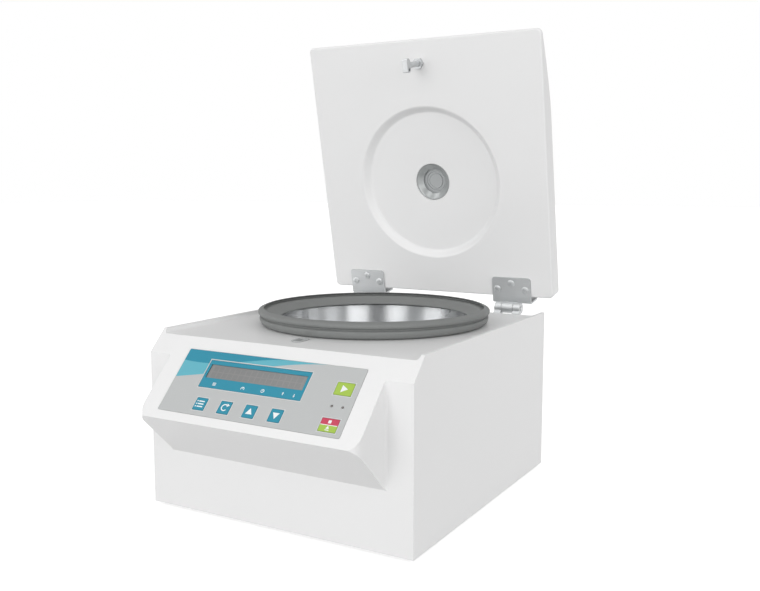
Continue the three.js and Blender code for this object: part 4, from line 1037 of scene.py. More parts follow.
@dataclass
class ControlPanel(Placed):
    """The membrane panel on the slope, with its display, keys and lamps.

    The bezel and the window are given as their middle, how far down it lies, their width and their height.
    """

    width: float = 190.0
    height: float = 65.0
    top: float = 19.6
    corner: float = 1.5
    film: tuple[float, float] = (-0.5, 0.1)
    recess: float = 0.8
    ink: float = 0.05
    overprint: float = 0.03
    line: float = 0.6
    line_gap: float = 0.8
    bezel: tuple[float, float, float, float] = (-10.0, 42.8, 109.0, 28.0)
    window: tuple[float, float, float, float] = (-10.0, 39.9, 103.9, 14.0)
    rebate: tuple[float, float] = (3.8, 2.5)
    pane: tuple[float, float] = (-2.2, -0.8)
    pane_rim: float = 3.2
    cell: float = 4.9
    cell_pitch: tuple[float, float] = (6.05, 6.0)
    cell_rows: tuple[int, int] = (16, 2)
    label_down: float = 52.6
    key_size: float = 12.0
    key_corner: float = 0.8
    key_edge: float = 0.25
    key_span: tuple[float, float] = (-1.5, 0.4)
    key_pocket: float = 2.2
    lamp_radius: float = 0.95
    lamp_foot: float = 13.0
    lamps: tuple[tuple[str, float], ...] = (("led_lid", 76.05), ("led_run", 86.55))
    lamp_down: float = 57.2
    keys: list[Key] = field(default_factory=list)

    def __post_init__(self) -> None:
        """Lists the keys with their signs."""
        rows = (2.6, 0, -2.6)
        lines = [bar_sign(6.2, 1.1, 0.6, y) for y in rows] + [bar_sign(1.2, 1.1, -3.9, y) for y in rows]
        turn = [ring_sign(3.4, 1.0, 40, 320), arrow_sign(1.9, 150, 2.7, 2.5)]
        play = [arrow_sign(4.0, -90, -0.5, 0)]
        stop = [rectangle(2.8, 2.8, 0.3, 0, 3.0), arrow_sign(1.9, 0, 0, -2.4), bar_sign(3.6, 0.8, 0, -4.5)]
        teal, small, large = PANEL_TEAL, self.key_size, 16.6
        self.keys = [
            Key("program_key", "key_program", -52.2, 73.5, small, teal, lines),
            Key("select_key", "key_select", -25.4, 73.5, small, teal, turn),
            Key("up_key", "key_up", 1.4, 73.5, small, teal, [arrow_sign(3.9, 0, 0, -0.6)]),
            Key("down_key", "key_down", 28.2, 73.5, small, teal, [arrow_sign(3.9, 180, 0, 0.6)]),
            Key("start_key", "key_start", 80.9, 40.5, large, KEY_GREEN, play),
            Key("stop_open_key", "key_stop_open", 80.9, 74.5, large, KEY_RED, stop),
        ]

    def place(self) -> Matrix:
        """Returns the frame of the sloping panel."""
        return PLACES.panel()

    def _outline(self, gap: float) -> Outline:
        """Returns the film's outline, larger by a gap on each side."""
        return rectangle(self.width + 2 * gap, self.height + 2 * gap, self.corner, 0, -self.top - self.height / 2)

    def _openings(self, key_floor: float, lamp_floor: float, top: float) -> list[Solid]:
        """Makes the cutters of the openings round the keys and the lamps.

        Args:
            key_floor: where those of the keys start.
            lamp_floor: where those of the lamps start.
            top: where they all end.

        Returns:
            The cutters.
        """
        tools = []
        for key in self.keys:
            hole = rectangle(key.width + 2 * FIT, self.key_size + 2 * FIT, self.key_corner, key.x, -key.down)
            tools.append(prism(hole, key_floor, top))
        for _, x in self.lamps:
            tools.append(shifted(rod(self.lamp_radius + FIT, lamp_floor, top, sides=24), x, -self.lamp_down))
        return tools

    def cutters(self) -> list[Solid]:
        """Makes the cutters of the recess, the key pockets, the window and the lamp holes.

        Returns:
            The cutters, in the machine's frame.
        """
        x, down, w, h = self.window
        rim, floor = self.rebate
        top = -self.recess / 2
        tools = [prism(self._outline(FIT), -self.recess, 5), box(w + rim, h + rim, -floor, top, x, -down),
                 box(w, h, -PAST, top, x, -down), *self._openings(-self.key_pocket, -PAST, top)]
        return [moved(tool, self.place()) for tool in tools]

    def _print(self, outlines: Sequence[Outline], name: str, finish: Finish, body: str, height: float) -> None:
        """Prints flat signs on a surface.

        Args:
            outlines: the signs, in the panel's frame.
            name: the piece's name.
            finish: the ink.
            body: the body that it rides on.
            height: how high above the slope the surface lies.
        """
        mesh = bmesh.new()
        for outline in outlines:
            part = self._inked(outline, height)
            mesh.from_mesh(part.data)
            bpy.data.objects.remove(part)
        self._on(shape(name, mesh), name, finish, body)

    def _inked(self, outline: Outline, height: float) -> Solid:
        """Returns a thin layer of ink on a surface at the given height."""
        return prism(outline, height - 0.02, height + self.ink)

    def _swoosh(self, reach: float, drop: float, bow: float) -> Outline:
        """Draws a curved field in the film's upper left corner.

        Args:
            reach: how far along the top edge it runs from the left.
            drop: how far down the left edge it runs.
            bow: how much its lower edge hangs.

        Returns:
            The field's outline.
        """
        left, top = -self.width / 2 + 0.3, -self.top - 0.3
        outline, steps = [(left, top)], 24
        for i in range(steps + 1):
            t = i / steps
            hang = drop * (1 - t) ** 1.5 + bow * math.sin(math.pi * t) * (1 - t)
            outline.append((left + reach * t, top - hang))
        return outline

    def build(self) -> None:
        """Makes the film with its print, the display, the keys and the lamps."""
        low, high = self.film
        x, down, w, h = self.bezel
        opening = box(w + 2 * FIT, h + 2 * FIT, -3, 3, x, -down)
        sheet = carved(prism(self._outline(0), low, high), opening, *self._openings(-3, -3, 3))
        self._on(sheet, "control_film", PANEL_GREY, "machine", "control_overlay")
        for outline, name, finish, height in (
                (self._swoosh(150, 30, 5), "film_field_pale", PANEL_PALE, high),
                (self._swoosh(112, 12, 9), "film_field_deep", PANEL_TEAL, high + self.overprint)):
            clear = box(w + 4 * self.line, h + 4 * self.line, -3, 3, x, -down)
            self._on(carved(self._inked(outline, height), clear), name, finish, "machine")
        frames = [bar for key in self.keys for bar in self._frame(key.x, -key.down, key.width, self.key_size)]
        self._print(frames, "key_frames", PANEL_LINE, "machine", high)
        self._display()
        for key in self.keys:
            self._key(key)
        for name, lamp_x in self.lamps:
            r, foot = self.lamp_radius, -self.lamp_foot
            lens = turned([(0, foot), (r, foot), (r, 0.0), (r * 0.8, 0.25), (r * 0.4, 0.4), (0, 0.45)], 24)
            self._on(shifted(lens, lamp_x, -self.lamp_down), f"{name}_lens", LAMP, "machine", name)

    def _frame(self, x: float, y: float, width: float, height: float) -> list[Outline]:
        """Draws a thin frame round a field, with a gap between them.

        Args:
            x: the field's middle.
            y: the field's middle.
            width: the field's width.
            height: the field's height.

        Returns:
            The frame's four bars.
        """
        line, w, h = self.line, width + self.line_gap, height + self.line_gap
        a, b = (w + line) / 2, (h + line) / 2
        return [bar_sign(w + 2 * line, line, x, y + b), bar_sign(w + 2 * line, line, x, y - b),
                bar_sign(line, h, x + a, y), bar_sign(line, h, x - a, y)]

    def _display(self) -> None:
        """Makes the display's frame, its signs, the pane and the rows of cells."""
        high = self.film[1]
        x, down, w, h = self.bezel
        wx, wdown, ww, wh = self.window
        plate = carved(box(w, h, *self.film, x, -down), box(ww, wh, -3, 3, wx, -wdown))
        self._on(edged(plate, 0.12, 2), "display_frame", PANEL_TEAL, "machine", "display_bezel")
        self._print(self._frame(x, -down, w, h), "display_outline", PANEL_LINE, "machine", high)
        y = -self.label_down
        signs = [bar_sign(3.6, 0.6, -48.6, y + d) for d in (1.1, 0, -1.1)]
        signs += [ring_sign(1.9, 0.6, -30, 210, -17.0, y - 0.6), bar_sign(0.5, 2.2, -17.0, y + 0.2)]
        signs += [ring_sign(1.8, 0.5, 0, 359, 4.2, y), bar_sign(0.5, 1.3, 4.2, y + 0.5), bar_sign(1.2, 0.5, 4.7, y)]
        for sign_x, turn, lift in ((25.2, 0, 0.9), (36.8, 180, -0.9)):
            signs += [arrow_sign(1.1, turn, sign_x, y + lift), bar_sign(0.6, 2.6, sign_x, y)]
        self._print(signs, "display_signs", PANEL_WHITE, "machine", high)
        pane = box(ww + self.pane_rim, wh + self.pane_rim, *self.pane, wx, -wdown)
        self._on(edged(pane, 0.2, 2), "display_pane", DISPLAY, "machine", "display_window")
        cell = box(self.cell, self.cell, -0.02, 0.04)
        cells = ON_GRID.copies(cell, DISPLAY_DARK, Columns=self.cell_rows[0], Rows=self.cell_rows[1],
                               Pitch_across=self.cell_pitch[0], Pitch_along=self.cell_pitch[1])
        self._on(shifted(cells, wx, -wdown, self.pane[1]), "display_cells", DISPLAY_DARK, "machine")

    def _cap(self, key: Key) -> Solid:
        """Returns the whole cap of a key."""
        plan = rectangle(key.width, self.key_size, self.key_corner, key.x, -key.down)
        return edged(prism(plan, *self.key_span), self.key_edge, 3, SQUARE)

    def _lower_half(self, key: Key) -> Solid:
        """Returns a block round the lower half of a key."""
        low, high = self.key_span
        return box(key.width + 2, self.key_size, low - 1, high + 1, key.x, -key.down - self.key_size / 2)

    def _key(self, key: Key) -> None:
        """Makes a key and the signs on it.

        Args:
            key: the key.
        """
        high = self.key_span[1]
        cap = self._cap(key)
        if key.finish is KEY_RED:
            lower = combined(self._cap(key), [self._lower_half(key)], "INTERSECT")
            self._on(lower, f"{key.node}_lower_cap", KEY_GREEN, key.body)
            cap = carved(cap, self._lower_half(key))
            seam = bar_sign(key.width - 0.4, self.line, key.x, -key.down)
            self._print([seam], f"{key.node}_line", PANEL_WHITE, key.body, high)
        self._on(cap, f"{key.node}_cap", key.finish, key.body, key.node)
        signs = [[(px + key.x, py - key.down) for px, py in sign] for sign in key.signs]
        self._print(signs, f"{key.node}_sign", PANEL_WHITE, key.body, high)


@dataclass
class BowlAndSeal(Placed):
    """The spun steel bowl and the rubber seal on its rim."""

    radius: float = 106.0
    wall: float = 1.0
    corner: float = 8.0
    depth: float = 65.3
    stand: float = 3.7
    rim: float = 3.0
    bead: float = 1.4
    eye: float = 24.0

    def place(self) -> Matrix:
        """Returns the frame of the bowl and the rotor."""
        return PLACES.spin()

    def build(self) -> None:
        """Makes the bowl and the seal."""
        floor = PLACES.deck - self.depth
        top = PLACES.deck + self.stand
        deck = PLACES.deck + FIT
        r, t, c, lip, bead = self.radius, self.wall, self.corner, self.rim, self.bead
        inner = arc((r - c, floor + c), c, -90, 0, 8)
        outer = arc((r - c, floor + c), c + t, 0, -90, 8)
        hem = arc((r + lip - bead, top - bead), bead, 90, 0, 4)
        profile = [(self.eye, floor)] + inner + [(r, top - 1.2), (r + 0.4, top - 0.3), (r + 1.2, top)] + hem
        profile += [(r + lip, deck), (r + lip - t, deck), (r + lip - t, top - t - 0.6),
                    (r + lip - t - 0.6, top - t), (r + t, top - t)] + outer + [(self.eye, floor - t)]
        self._on(turned(profile, ROUND), "bowl_spun", BOWL_STEEL, "machine", "bowl", sharp=50)
        foot = [(109.3, deck), (112.0, deck), (113.8, deck + 0.4), (115.4, deck + 1.5), (116.3, deck + 3.1),
                (116.9, deck + 5.2), (116.9, deck + 6.8), (116.4, deck + 7.7), (115.2, deck + 8.0),
                (114.8, deck + 8.3), (114.6, deck + 8.6), (114.6, deck + 9.3), (114.8, deck + 9.6)]
        roll = [(116.4, 171.6), (117.7, 172.2), (118.3, 173.2), (118.4, 174.4), (118.1, 175.6), (117.2, 176.5),
                (115.4, 177.3), (113.4, 178.1), (112.8, 178.2), (112.4, 178.0), (112.3, 177.6), (112.6, 177.3),
                (115.6, 176.2), (116.0, 175.6), (115.9, 174.9), (115.3, 174.5)]
        flap = [(109.6, 174.4), (108.8, 174.2), (97.2, 168.0), (96.6, 167.4), (96.7, 166.7), (97.4, 166.2),
                (105.4, 171.1), (106.3, 171.5), (106.3, 165.3), (109.3, 165.3)]
        self._on(turned(foot + roll + flap, ROUND), "bowl_seal_ring", SEAL_RUBBER, "machine", "bowl_seal", sharp=60)


@dataclass
class Latch(Placed):
    """The light bezel round the latch slot in the deck."""

    slot: tuple[float, float] = (7.4, 17.0)
    neck: float = 0.9
    neck_foot: float = 2.7
    lip: float = 1.8
    lip_height: float = 0.8

    def place(self) -> Matrix:
        """Returns the frame of the latch slot."""
        return PLACES.latch()

    def _slot(self, wider: float) -> Outline:
        """Returns the slot's outline, larger on all sides."""
        return stadium(self.slot[0] + 2 * wider, self.slot[1] + 2 * wider, 20)

    def build(self) -> None:
        """Makes the bezel."""
        low = PLACES.deck + FIT
        flange = prism(self._slot(self.lip), low, low + self.lip_height)
        neck = prism(self._slot(self.neck), PLACES.deck - self.neck_foot, low + self.lip_height / 2)
        ring = carved(joined(flange, neck), prism(self._slot(0), *THROUGH_DECK))
        self._on(edged(ring, 0.3, 3, SQUARE), "slot_bezel_ring", PANEL_GREY, "machine", "slot_bezel")


@dataclass
class Lid(Placed):
    """The open lid: tray with its round dish, crowned cover, sight window and striker.

    The dish is given as its radius at the mouth and at the floor, and its depth at the wall and at the window.
    """

    width: float = 280.8
    length: float = 285.6
    thickness: float = 21.0
    skin: float = 2.5
    corner: float = 5.0
    seam: float = 0.06
    flat: float = 200.0
    front: float = 4.3
    power: float = 1.4
    dish: tuple[float, float, float, float] = (87.0, 78.0, 7.5, 10.5)
    dish_back: float = 127.8
    sight: float = 20.6
    striker_back: float = 260.0
    stud_hole: float = 3.55

    def place(self) -> Matrix:
        """Returns the frame of the open lid's inner face."""
        return PLACES.lid()

    def _crown(self, inset: float) -> Outline:
        """Draws the cover's section from its rear edge to its free edge.

        Args:
            inset: how far inside the outer face it runs.

        Returns:
            The section's upper points, from the rear to the front.
        """
        end = self.length - inset
        points = [(-inset, self.thickness - inset)]
        for step in range(15):
            back = self.flat + (end - self.flat) * step / 14
            share = max(0.0, back - self.flat) / (self.length - self.flat)
            height = self.thickness - (self.thickness - self.front) * share ** self.power
            points.append((-back, max(height - inset, self.skin)))
        return points

    def _dish(self, wall: float, steps: int = 12) -> Solid:
        """Makes the body of the dish.

        Args:
            wall: how much it is larger than the dish's inside.
            steps: how many rings its soft wall has.

        Returns:
            The body, at its place on the lid.
        """
        outer, inner, wall_depth, depth = self.dish
        points: list[Point] = [(0, -6), (outer + wall, -6)]
        for step in range(steps + 1):
            share = step / steps
            ease = (1 - math.cos(math.pi * share)) / 2
            points.append((outer + wall - (outer - inner) * share, wall + wall_depth * ease))
        points += [(self.sight + FIT, wall + depth), (0, wall + depth)]
        return shifted(turned(points, ROUND), 0, -self.dish_back)

    def _sight_hole(self) -> Solid:
        """Returns the cutter of the sight window's hole."""
        return shifted(rod(self.sight + FIT, -PAST, 40, sides=96), 0, -self.dish_back)

    def build(self) -> None:
        """Makes the lid's pieces."""
        plan = rectangle(self.width, self.length, self.corner, 0, -self.length / 2)
        seam = self.skin + self.seam
        crown = [(0, seam)] + self._crown(0) + [(-self.length, seam)]
        cover = combined(prism(crown, -self.width / 2, self.width / 2, Axis.X), [prism(plan, 0, 60)], "INTERSECT")
        cover = edged(tidied(cover, 0.2), 3.0, 4, 40.0, lambda middle: 0.0 if middle.z < self.skin + 0.3 else 1.0)
        half = self.width / 2 - self.skin
        inside = [(-self.skin, -5)] + self._crown(self.skin) + [(-self.length + self.skin, -5)]
        cover = carved(cover, prism(inside, -half, half, Axis.X), self._sight_hole())
        self._on(cover, "lid_cover_shell", WHITE_SHELL, "lid", "lid_cover", sharp=28)
        sheet = edged(prism(plan, 0, self.skin), 2.0, 4, SQUARE, lambda middle: 1.0 if middle.z < 0.2 else 0.0)
        bowl = combined(self._dish(self.skin), [prism(plan, 0, 30)], "INTERSECT")
        stud = shifted(rod(self.stud_hole, -PAST, PAST, sides=32), 0, -self.striker_back)
        tray = carved(joined(sheet, bowl), self._dish(0), self._sight_hole(), stud)
        self._on(tray, "lid_tray_moulding", WHITE_SHELL, "lid", "lid_tray", sharp=28)
        self._sight()
        self._striker()

    def _sight(self) -> None:
        """Makes the sight window's ring and lens."""
        mouth, throat, shelf, top = 10.8, 15.8, 17.4, 22.5
        ring = [(20.0, mouth), (20.3, mouth - 0.1), (20.6, mouth + 0.2), (20.6, 21.3), (25.0, 21.3), (25.0, 21.7),
                (24.4, 22.4), (23.8, top), (17.3, top), (17.0, top - 0.3), (17.0, shelf), (14.2, shelf),
                (14.0, shelf - 0.2), (14.0, throat), (14.6, throat - 0.5), (18.6, mouth + 1.6), (19.6, mouth + 0.6)]
        self._on(shifted(turned(ring, 96), 0, -self.dish_back), "sight_ring", SIGHT_GREY, "lid", "sight_bush")
        lens = [(0, 18.4), (7.4, 18.4), (7.8, 17.8), (8.8, 17.8), (9.2, 18.8), (10.4, 18.8), (10.8, 17.8),
                (12.0, 17.8), (12.3, 18.3), (13.2, 18.3), (13.5, 17.7), (16.6, 17.7), (16.7, 17.9),
                (16.7, 20.4), (16.4, 20.7), (0, 20.7)]
        self._on(shifted(turned(lens, 96), 0, -self.dish_back), "sight_pane", LENS, "lid", "sight_lens", sharp=24)

    def _striker(self) -> None:
        """Makes the striker with its flat head, and its nut."""
        neck_end, shoulder, end, half, radius = -23.4, -26.4, -32.4, 7.25, 3.25
        neck = turned([(0, neck_end - 1.5), (radius, neck_end - 1.5), (radius, 5.0), (2.75, 5.5), (0, 5.5)], 40)
        head = softened([(-radius, neck_end), (-half, shoulder, 0.6), (-half, end, 1.5), (half, end, 1.5),
                         (half, shoulder, 0.6), (radius, neck_end)])
        plate = edged(prism(head, -3.1, 3.1, Axis.X), 0.5, 3, SQUARE)
        eye = shifted(rod(1.5, -PAST, PAST, Axis.X), 0, 4.25, -27.9)
        bolt = shifted(carved(joined(plate, neck), eye), 0, -self.striker_back)
        self._on(bolt, "striker_bolt", SCREW_STEEL, "lid", "striker")
        nut = turned([(3.55, -3.5), (6.2, -3.5), (6.2, -0.3), (3.55, -0.3)], 6)
        nut = combined(nut, [turned([(0, -4), (5.3, -4), (6.3, -3.0), (6.3, 1), (0, 1)], 48)], "INTERSECT")
        nut = edged(carved(nut, rod(3.4, -PAST, PAST)), 0.15, 2, 40.0)
        self._on(shifted(nut, 0, -self.striker_back), "striker_hex_nut", SCREW_STEEL, "lid", "striker_nut")


@dataclass
class Hinges:
    """The two lid hinges: leaves on the lid, bases on the rear panel and their pins."""

    x: float = 93.0
    leaf_width: float = 45.0
    leaf_front: float = -31.4
    leaf_tail: float = -1.6
    leaf_face: tuple[float, float] = (10.4, 12.4)
    leaf_screws: tuple[Point, ...] = ((0.0, -24.5, 0.0), (-16.4, -17.6, 0.0), (16.4, -17.6, 0.0))
    flange_end: float = 30.9
    thickness: float = 2.0
    knuckle: float = 6.0
    tongue: float = 13.0
    side_knuckle: float = 8.0
    strap: float = 3.0
    pin: float = 2.5
    base_width: float = 40.0
    base_height: float = 30.0
    base_drop: float = 8.0
    base_screw_x: float = 14.0
    base_screw_drops: tuple[float, float] = (7.0, 23.0)

    def _eye(self, left: float, right: float, strap: Outline) -> Solid:
        """Makes a knuckle with its strap.

        Args:
            left: where it starts along the axis.
            right: where it ends along the axis.
            strap: the strap's section about the axis.

        Returns:
            The knuckle with its bore.
        """
        body = joined(rod(self.knuckle, left, right, Axis.X, 40), prism(strap, left, right, Axis.X))
        return carved(body, rod(self.pin + 0.25, left - 2, right + 2, Axis.X, 32))

    def leaf(self, name: str, x: float) -> None:
        """Makes a leaf with its screws.

        Args:
            name: the side.
            x: where it sits along the axis.
        """
        low, high = self.leaf_face
        half, front, tail = self.leaf_width / 2, self.leaf_front, self.leaf_tail
        inner = tail - self.thickness
        section = softened([(front, low), (tail, low, 2.6), (tail, self.flange_end), (inner, self.flange_end),
                            (inner, high, 0.7), (front, high)])
        plate = prism(section, -half, half, Axis.X)
        plan = softened([(-half, front, 3.0), (half, front, 3.0), (half, tail + 1), (-half, tail + 1)])
        plate = combined(plate, [prism(plan, low - 3, self.flange_end + 3)], "INTERSECT")
        strap = [(tail - self.strap, low + 2), (tail, low + 2), (self.knuckle, 0), (self.knuckle - self.strap, 0)]
        leaf = joined(plate, self._eye(-self.tongue / 2, self.tongue / 2, strap))
        leaf = moved(edged(tidied(leaf), 0.3, 2, 40.0), PLACES.lid_hinge(x))
        finished(leaf, f"hinge_leaf_{name}_plate", ZINC, "lid", f"hinge_leaf_{name}", sharp=30)
        heads = shifted(hung(ON_POINTS.copies(screw_head(4.2, 1.3, 4.2), ZINC, self.leaf_screws)), z=low)
        finished(moved(heads, PLACES.lid_hinge(x)), f"hinge_screws_{name}", ZINC, "lid")

    def base(self, name: str, x: float) -> None:
        """Makes a base with its two knuckles, its pin and its screws.

        Args:
            name: the side.
            x: where it sits along the axis.
        """
        plate_y = PLACES.panel_face + FIT - PLACES.hinge[0]
        top = PLACES.deck - PLACES.hinge[1] - self.base_drop
        plate = prism(rectangle(self.base_width, self.base_height, 3, 0, top - self.base_height / 2),
                      plate_y, plate_y + self.thickness, Axis.Y)
        strap = [(plate_y, top - self.strap), (plate_y, top), (0, self.knuckle - self.strap), (0, -self.knuckle)]
        start = self.tongue / 2 + FIT
        end = start + self.side_knuckle
        base = joined(plate, self._eye(-end, -start, strap), self._eye(start, end, strap))
        base = shifted(edged(tidied(base), 0.3, 2, 40.0), x, *PLACES.hinge)
        finished(base, f"hinge_base_{name}_bracket", ZINC, "machine", f"hinge_base_{name}", sharp=30)
        tip, neck = end + 0.8, self.pin - 0.5
        pin = turned([(0, -tip), (neck, -tip), (self.pin, -tip + 0.5), (self.pin, tip - 0.5), (neck, tip), (0, tip)],
                     32, Axis.X)
        finished(shifted(pin, x, *PLACES.hinge), f"hinge_pin_{name}_rod", SCREW_STEEL, "machine", f"hinge_pin_{name}")
        points = [(side * self.base_screw_x, drop - top, 0.0) for side in (-1, 1) for drop in self.base_screw_drops]
        heads = ON_POINTS.copies(screw_head(2.8, 1.3, 3.0), SCREW_STEEL, points)
        face = Matrix.Translation((x, PLACES.panel_face + FIT + self.thickness, PLACES.hinge[1]))
        finished(moved(heads, face @ turned_about_x(-90)), f"hinge_base_screws_{name}", SCREW_STEEL, "machine")

    def build(self) -> None:
        """Makes both hinges."""
        for name, x in (("left", -self.x), ("right", self.x)):
            self.leaf(name, x)
            self.base(name, x)


@dataclass
class Rotor(Placed):
    """The flat rotor with its tube slots, its cover and its knob."""

    radius: float = 96.0
    floor: float = 105.0
    rim: float = 121.5
    table: float = 113.5
    hub: float = 13.0
    tubes: int = 24
    slot_ring: float = 48.0
    slot_width: float = 2.6
    slot_depth: float = 2.4
    cover_top: float = 123.8
    tick: tuple[float, float] = (4.2, 0.7)
    tick_inset: float = 11.5
    knob: tuple[float, float] = (124.1, 140.6)
    flutes: int = 10
    flute_radius: float = 3.4
    flute_ring: float = 18.7

    def place(self) -> Matrix:
        """Returns the frame of the bowl and the rotor."""
        return PLACES.spin()

    def build(self) -> None:
        """Makes the rotor's pieces."""
        low, table, rim = self.floor, self.table, self.rim
        r, hub = self.radius, self.hub
        disc = turned([
            (5.3, low - 4), (14.4, low - 4), (15, low - 3.4), (15, low), (r - 1.8, low), (r, low + 1.8),
            (r, rim - 0.3), (r - 0.3, rim), (r - 3.2, rim), (r - 3.5, rim - 0.3), (r - 3.5, low + 5),
            (r - 8, low + 5), (r - 8, table - 0.3), (r - 8.3, table), (hub, table), (hub, table + 2.2),
            (hub - 0.3, table + 2.5), (5.3, table + 2.5)], 128)
        length = r - 6 - hub - 0.8
        slot = shifted(box(length, self.slot_width, -self.slot_depth, 4), hub + 0.8 + length / 2 - self.slot_ring)
        slots = ON_RING.copies(slot, ANODISED, Count=self.tubes, Radius=self.slot_ring)
        self._on(carved(disc, shifted(slots, z=table)), "rotor_disc_turned", ANODISED, "rotor", "rotor_disc")
        boss, edge, top = hub - 0.5, r - 0.5, self.cover_top
        cover = turned([
            (4.6, 116.3), (boss - 0.4, 116.3), (boss, 116.7), (boss, 121.8), (edge - 0.5, 121.8), (edge, 122.2),
            (edge, 123.2), (edge - 0.6, top), (edge - 2.3, top), (edge - 2.6, 123.5), (edge - 6.1, 123.5),
            (edge - 6.4, top), (24.2, top), (23.9, 123.55), (22.6, 123.55), (22.3, top), (4.6, top)], 128)
        self._on(cover, "rotor_cover_turned", ANODISED, "rotor_lid", "rotor_cover")
        ticks = ON_RING.copies(box(*self.tick, -0.01, 0.03), BLACK_PLASTIC, Count=self.tubes,
                               Radius=r - self.tick_inset)
        self._on(shifted(ticks, z=top), "rotor_cover_ticks", BLACK_PLASTIC, "rotor_lid")
        self._knob()

    def _knob(self) -> None:
        """Makes the fluted knob with its turned cap."""
        low, high = self.knob
        body = turned([(0, 138.5), (4.3, 138.5), (4.3, low), (16.2, low), (17, low + 0.8), (17, high - 2.2),
                       (16.4, high - 0.9), (15.0, high), (9.4, high), (9.0, high - 0.4), (0, high - 0.4)], 80)
        flute = rod(self.flute_radius, low - 3, high + 3, sides=24)
        flutes = ON_RING.copies(flute, BLACK_PLASTIC, Count=self.flutes, Radius=self.flute_ring)
        body = edged(tidied(carved(body, flutes), 0.3), 0.4, 3, 35.0)
        self._on(body, "rotor_knob_fluted", BLACK_PLASTIC, "knob", "rotor_knob")


